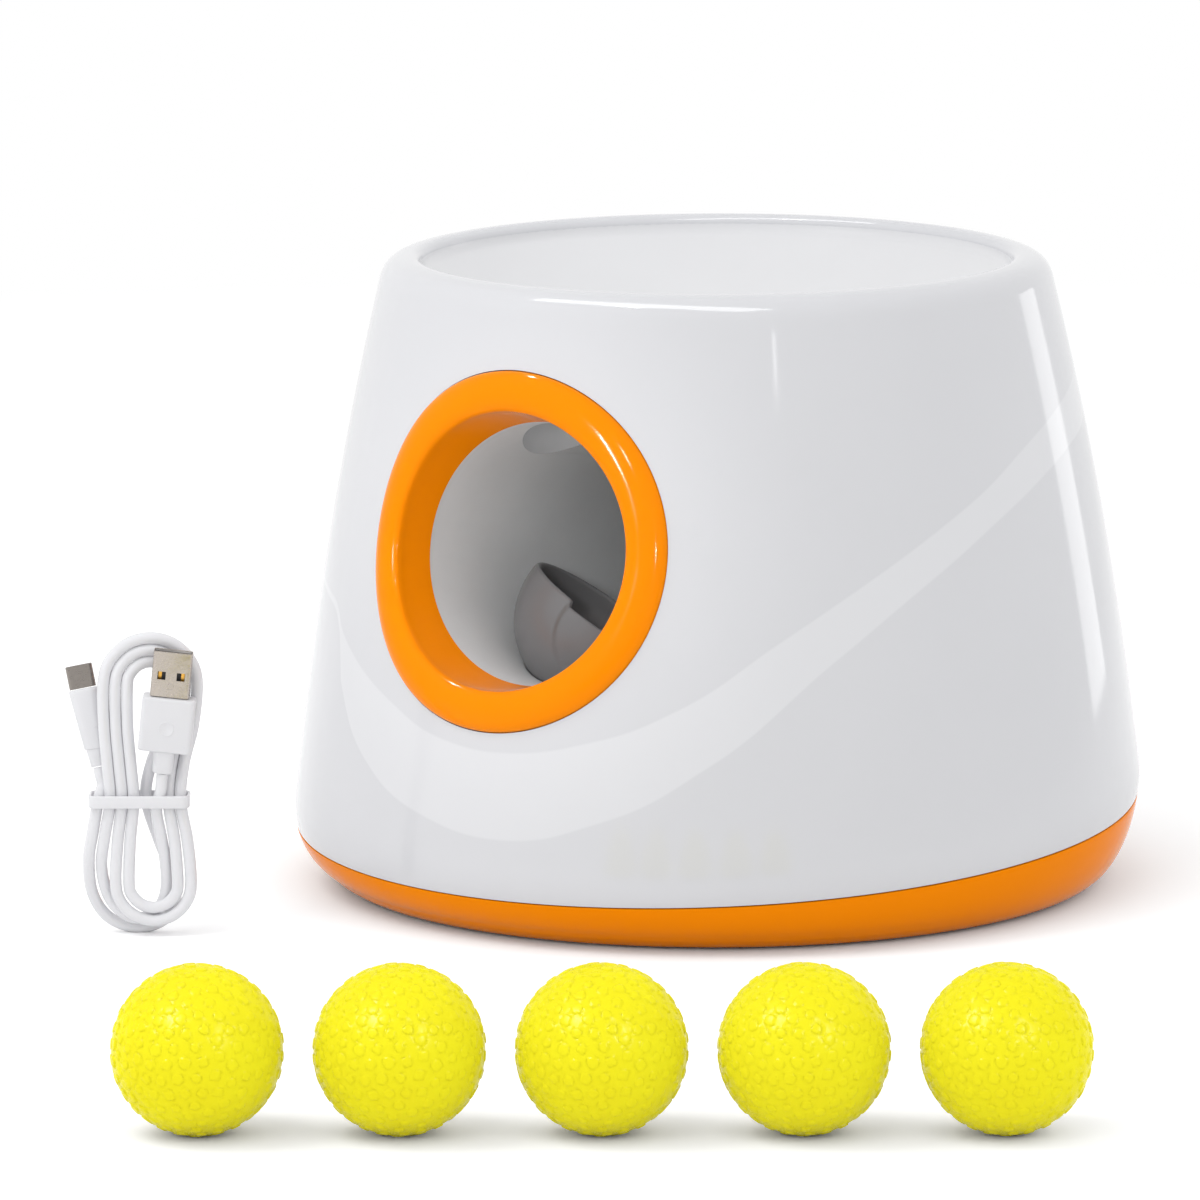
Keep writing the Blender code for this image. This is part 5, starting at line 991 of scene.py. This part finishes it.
def make_barrel():
    steps = 128
    start = BARREL_START
    outer = BARREL_RADIUS + BARREL_WALL
    flange = BARREL_RADIUS + BARREL_FLANGE
    outline = [(0, start), (flange, start), (flange, start + 3), (outer, start + 4)]
    outline += [(outer, lerp(start + 4, BARREL_END, row / 8)) for row in range(1, 9)] + [(0, BARREL_END)]
    body = placed(turned(outline, steps, closed=False), LAUNCH @ INWARD)
    top = DROP_HEIGHT - 3.3
    drop = moved((0, DROP_Y, 0))
    floor_drop = (BARREL_RADIUS**2 - (CUP_RADIUS + GAP) ** 2 + CUP_DROP**2) / (2 * CUP_DROP)
    half = sqrt(BARREL_RADIUS**2 - floor_drop**2) + 2 * GAP
    slot = rod(half, -BARREL_RADIUS - 5, 0, steps)
    for vert in slot.vertices:
        if vert.co.y > 0:
            vert.co.y += (TRAVEL + GAP) * MM
        else:
            vert.co.y *= SLOT_FRONT / half
    beam = moved((0, DROP_Y, DROP_HEIGHT - 11)) @ ALONG_X
    tools = [
        (ADD, placed(rod(DROP_RADIUS + 2, PORT_HEIGHT, top, steps), drop)),
        (TAKE, placed(rod(BARREL_RADIUS, start - 5, BARREL_END + 5, steps), LAUNCH @ INWARD)),
        (TAKE, placed(rod(DROP_RADIUS, PORT_HEIGHT, top + 5, steps), drop)),
        (TAKE, placed(slot, LAUNCH @ moved((0, CUP_DEPTH, -BARREL_RADIUS / 3)))),
        (TAKE, placed(rod(1.6, -54, 54, 24), beam)),
    ]
    mesh = cut(body, tools)
    dress("barrel_tube", mesh, "launcher", "grey_barrel", ["launch_barrel"], 30)
    # The drop hole's wall takes a darker grey, painted shade where the hopper lights it.
    mesh.materials.append(FINISHES["throat_grey"])
    axis = Vector((0, DROP_Y)) * MM
    for face in mesh.polygons:
        if abs((face.center.xy - axis).length - DROP_RADIUS * MM) < 0.3 * MM and abs(face.normal.z) < 0.3:
            face.material_index = 1


# Launch cup


def make_cup():
    """A ball-shaped scoop whose outer face and rim step in and down over a round patch at the front."""
    centre = Vector((0, CUP_DEPTH, -CUP_DROP))
    to_launch = LAUNCH.to_3x3().inverted()
    turn = (to_launch @ CUP_RIM_NORMAL).normalized().to_track_quat("Z", "Y").to_matrix()
    aim = (turn.inverted() @ to_launch @ CUP_HOLLOW_AIM).normalized()
    steps = 288
    rows = 60
    inner = CUP_RADIUS - CUP_WALL

    def direction(step, polar):
        """A direction by its turn round the rim's normal and its angle from the bottom."""
        turn_at = 2 * pi * step / steps
        around = sin(polar)
        return Vector((around * cos(turn_at), around * sin(turn_at), -cos(polar)))

    def sunk(way, soft):
        """1 inside the round patch and 0 outside it."""
        angle = degrees(way.angle(aim))
        return 1 - smoothstep(CUP_HOLLOW_SPAN - soft, CUP_HOLLOW_SPAN + soft, angle)

    tops = []
    for step in range(steps):
        level = CUP_RIM_LIFT
        for _ in range(4):
            way = direction(step, acos(-level / CUP_RADIUS))
            level = CUP_RIM_LIFT - CUP_NOTCH_DROP * sunk(way, 1.6)
        tops.append(acos(-(level - CUP_WALL / 2) / (CUP_RADIUS - CUP_WALL / 2)))
    rings = [[Vector((0, 0, -CUP_RADIUS))]]
    for row in range(1, rows + 1):
        ring = []
        for step in range(steps):
            way = direction(step, tops[step] * row / rows)
            ring.append(way * (CUP_RADIUS - CUP_HOLLOW_DEPTH * sunk(way, 1.3)))
        rings.append(ring)
    for angle in (25, 50, 75, 90, 105, 130, 155):
        bend = radians(angle)
        ring = []
        for step in range(steps):
            outer = CUP_RADIUS - CUP_HOLLOW_DEPTH * sunk(direction(step, tops[step]), 1.3)
            half = (outer - inner) / 2
            radius = inner + half + half * cos(bend)
            ring.append(direction(step, tops[step] + half * sin(bend) / (inner + half)) * radius)
        rings.append(ring)
    for row in range(26, 0, -1):
        rings.append([direction(step, tops[step] * row / 26) * inner for step in range(steps)])
    rings.append([Vector((0, 0, -inner))])
    mesh = loft("cup", [[tuple(point) for point in ring] for ring in rings], closed=False)
    placed(mesh, LAUNCH @ moved(centre) @ turn.to_4x4())
    stem = rod(7.0, -CUP_DROP - CUP_RADIUS - GAP, -CUP_DROP - CUP_RADIUS + CUP_WALL, 64)
    placed(stem, LAUNCH @ moved((0, CUP_DEPTH, 0)))
    whole = cut(mesh, [(ADD, stem)])
    dress("cup_scoop", whole, "carriage", "dark_grey", ["launch_cup"], 40)


make_shell()
make_tray()
make_funnel()
make_ring()
make_barrel()
make_cup()


# Balls


def pimple_places(count, rng):
    """Directions spread evenly over the sphere but not in rows."""
    spots = rng.normal(size=(count, 3))
    spots /= np.linalg.norm(spots, axis=1)[:, None]
    for _ in range(60):
        apart = spots[:, None, :] - spots[None, :, :]
        near = np.linalg.norm(apart, axis=2) + np.eye(count)
        push = (apart / near[:, :, None] ** 4).sum(1)
        push *= 0.0006 / count**0.5
        size = np.linalg.norm(push, axis=1)[:, None]
        spots += push * np.minimum(1.0, 0.03 / np.maximum(size, 1e-9))
        spots /= np.linalg.norm(spots, axis=1)[:, None]
    return spots


def ball_mesh():
    """A foam ball whose skin is raised in small rounded pads with crisp feet."""
    rng = np.random.default_rng(7)
    spots = pimple_places(316, rng)
    directions = []
    heights = []
    steps = 14
    rows = ((1.16, 0.0), (1.05, -0.42), (1.0, 0.1), (0.93, 0.84), (0.68, 1.0), (0.33, 1.04))
    for spot in spots:
        reach = rng.uniform(1.38, 1.8) / BALL_RADIUS
        sides = rng.integers(3, 6)
        phase = rng.uniform(0, 2 * pi)
        squash = rng.uniform(0.05, 0.14)
        rise = rng.uniform(0.27, 0.35)
        side = np.cross(spot, (0.3, 0.5, 0.81))
        side /= np.linalg.norm(side)
        other = np.cross(spot, side)
        directions.append(spot)
        heights.append(rise * 1.05)
        for share, level in rows:
            for step in range(steps):
                turn = 2 * pi * step / steps
                radius = reach * share * (1 + squash * cos(sides * (turn - phase)) * min(1.0, share))
                point = spot + radius * (side * cos(turn) + other * sin(turn))
                directions.append(point / np.linalg.norm(point))
                heights.append(rise * level)
    directions = np.array(directions)
    fill_count = 5200
    index = np.arange(fill_count) + 0.5
    polar = np.arccos(1 - 2 * index / fill_count)
    turn = pi * (1 + 5**0.5) * index
    fill = np.stack([np.cos(turn) * np.sin(polar), np.sin(turn) * np.sin(polar), np.cos(polar)], 1)
    nearest = (fill @ spots.T).max(1)
    fill = fill[nearest < cos(2.15 / BALL_RADIUS)]
    directions = np.concatenate([directions, fill])
    heights = np.concatenate([heights, np.zeros(len(fill))])
    skin = BALL_RADIUS + 0.08
    bm = bmesh.new()
    for direction in directions:
        bm.verts.new(direction)
    bmesh.ops.convex_hull(bm, input=bm.verts[:], use_existing_faces=False)
    for vert, height in zip(bm.verts, heights):
        vert.co = vert.co.normalized() * (skin + height) * MM
    for vert in [vert for vert in bm.verts if not vert.link_faces]:
        bm.verts.remove(vert)
    bmesh.ops.recalc_face_normals(bm, faces=bm.faces)
    mesh = bpy.data.meshes.new("ball_skin")
    bm.to_mesh(mesh)
    bm.free()
    return mesh


def make_balls():
    shared = ball_mesh()
    shared.materials.append(FINISHES["yellow_ball"])
    shared.shade_smooth()
    for index in range(5):
        shift = (index - 2) * BALL_PITCH
        ball = link(f"foam_ball_{index + 1}", shared)
        ball.location = (ROW_MIDDLE + shift * Vector((cos(ROW_TURN), sin(ROW_TURN), 0))) * MM
        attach(ball, f"loose_ball_{index + 1}")
        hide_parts(f"ball_{index + 1}")


make_balls()


# CAD nodes that stay as they are, with their finishes


def dress_nodes():
    for node in frame["nodes"].values():
        if node.hide_render or not node.data.materials:
            continue
        slot = node.data.materials[0].name.split(".")[0]
        node.data.materials[0] = FINISHES.get(slot, FINISHES["frame_black"])


dress_nodes()


# Floor, world and lights

AMBIENT = 0.68
FLOOR_TONE = (1.28, 1.28, 1.28)
FLOOR_BOUNCE = (0.88, 0.88, 0.88)
FLOOR_HALF = 3e4
FLOOR_FADE = (0.6, 1.4)


def make_floor():
    """A floor that keeps the shadow and fades into plain white away from the object."""
    corners = [(x * FLOOR_HALF, y * FLOOR_HALF, 0) for x, y in ((-1, -1), (1, -1), (1, 1), (-1, 1))]
    floor = link("floor", mesh_of("floor", corners, [(0, 1, 2, 3)]))
    material = bpy.data.materials.new("floor")
    material.use_nodes = True
    material.node_tree.nodes.clear()
    made = Nodes(material.node_tree)
    tone = made.mix(made.seen(), FLOOR_BOUNCE, FLOOR_TONE)
    shade = made.fill(made.node("BsdfDiffuse"), tone)
    white = made.node("Emission")
    white.inputs["Strength"].default_value = 1.0
    distance = made.node("VectorMath", operation="LENGTH")
    made.feed(made.node("NewGeometry").outputs["Position"], distance.inputs[0])
    fade = made.spread(distance.outputs["Value"], 0.0, 1.0, *FLOOR_FADE)
    blend = made.fill(made.node("MixShader"), fade, shade, white.outputs[0])
    made.feed(blend, made.node("OutputMaterial").inputs["Surface"])
    floor.data.materials.append(material)


def make_world():
    """White where it is seen and dimmer where it lights."""
    world = bpy.data.worlds.new("studio")
    bpy.context.scene.world = world
    world.use_nodes = True
    made = Nodes(world.node_tree)
    sockets = world.node_tree.nodes["Background"].inputs
    made.feed((1, 1, 1), sockets["Color"])
    made.feed(made.spread(made.seen(), AMBIENT, 1.0, 0.0, 1.0), sockets["Strength"])


def lamp(name, kind, energy, way, target=(0, 0, 0), distance=0.0, unseen=("glossy",), **values):
    """A lamp that shines on a target, from an azimuth (0 at the port's side, 90 at +X) and an elevation."""
    turn, rise = (radians(angle) for angle in way)
    away = Vector((sin(turn) * cos(rise), -cos(turn) * cos(rise), sin(rise)))
    data = bpy.data.lights.new(name, kind)
    data.energy = energy
    for key, value in values.items():
        setattr(data, key, value)
    made = link(name, data)
    made.location = Vector(target) * MM + away * distance
    made.rotation_mode = "QUATERNION"
    made.rotation_quaternion = away.to_track_quat("Z", "Y")
    for rays in unseen:
        setattr(made, "visible_" + rays, False)
    return made


def glint(name, target, way, size, radiance, only="", distance=1.5):
    """A small lamp seen in gloss alone, on the pieces so named, where it draws one highlight."""
    sides = {"shape": "RECTANGLE", "size": size[0], "size_y": size[1]}
    power = 4 * size[0] * size[1] * radiance
    made = lamp(name, "AREA", power, way, target, distance, ("diffuse", "camera"), **sides)
    if only:
        reached = bpy.data.collections.new(name + "_reach")
        for piece in bpy.data.objects:
            if piece.name.startswith(only):
                reached.objects.link(piece)
        made.light_linking.receiver_collection = reached


make_floor()
make_world()

# Suns: name, way, strength and spread in degrees
SUNS = (
    ("front", (-4, 18), 0.36, 40),
    ("high", (-10, 66), 0.20, 40),
    ("left", (-62, 18), 0.17, 60),
    ("right", (82, 25), 0.30, 45),
    ("back", (145, 32), 0.38, 60),
)
for name, way, strength, spread in SUNS:
    lamp(name, "SUN", strength, way, angle=radians(spread))

# A near lamp whose light falls off towards the far side, and a soft round one that looks into the port
lamp("softbox", "AREA", 1.55, (-28, 46), (0, 0, 100), 0.95, ("glossy", "camera"), size=0.45)
SPOT_DISTANCE = 1.2
SPOT_REACH = 0.046
cone = {"spot_size": 2 * atan(SPOT_REACH / SPOT_DISTANCE), "spot_blend": 0.5, "shadow_soft_size": 0.06}
lamp("port_spot", "SPOT", 24.0, (28, 12), PORT_MIDDLE, SPOT_DISTANCE, **cone)

PORT_CREST = PORT_MIDDLE - Vector((0, 4, 0))
LIP_FRONT = (20, -98, 197)
glint("ball_left", ROW_MIDDLE, (-20, 48), (0.5, 0.3), 110, "foam_ball")
glint("ball_right", ROW_MIDDLE, (70, 30), (0.12, 0.5), 130, "foam_ball")
glint("cable_front", (-98, -178, 50), (-5, 22), (0.10, 0.4), 5, "cable_strand")
glint("ring_side", PORT_CREST, (5, 18), (0.08, 0.26), 420, "port_trim_ring")
glint("ring_side_low", PORT_CREST, (37, 33), (0.05, 0.16), 340, "port_trim_ring")
glint("ring_right", PORT_CREST, (64, 9), (0.05, 0.12), 280, "port_trim_ring")
glint("ring_top", PORT_CREST, (-95, 67), (0.16, 0.06), 600, "port_trim_ring")
glint("lip_streak", LIP_FRONT, (-10, 74), (1.8, 0.42), 4.0, "shell_body")
glint("lip_spot", LIP_FRONT, (-20, 66), (0.20, 0.03), 110.0, "shell_body")
glint("right_stripe", (115, 20, 100), (166, -3), (0.20, 0.5), 1.1, distance=0.9)
glint("front_line", (78, -84, 155), (53, 18), (0.014, 0.08), 9.0)

bpy.context.scene.view_settings.view_transform = "Standard"
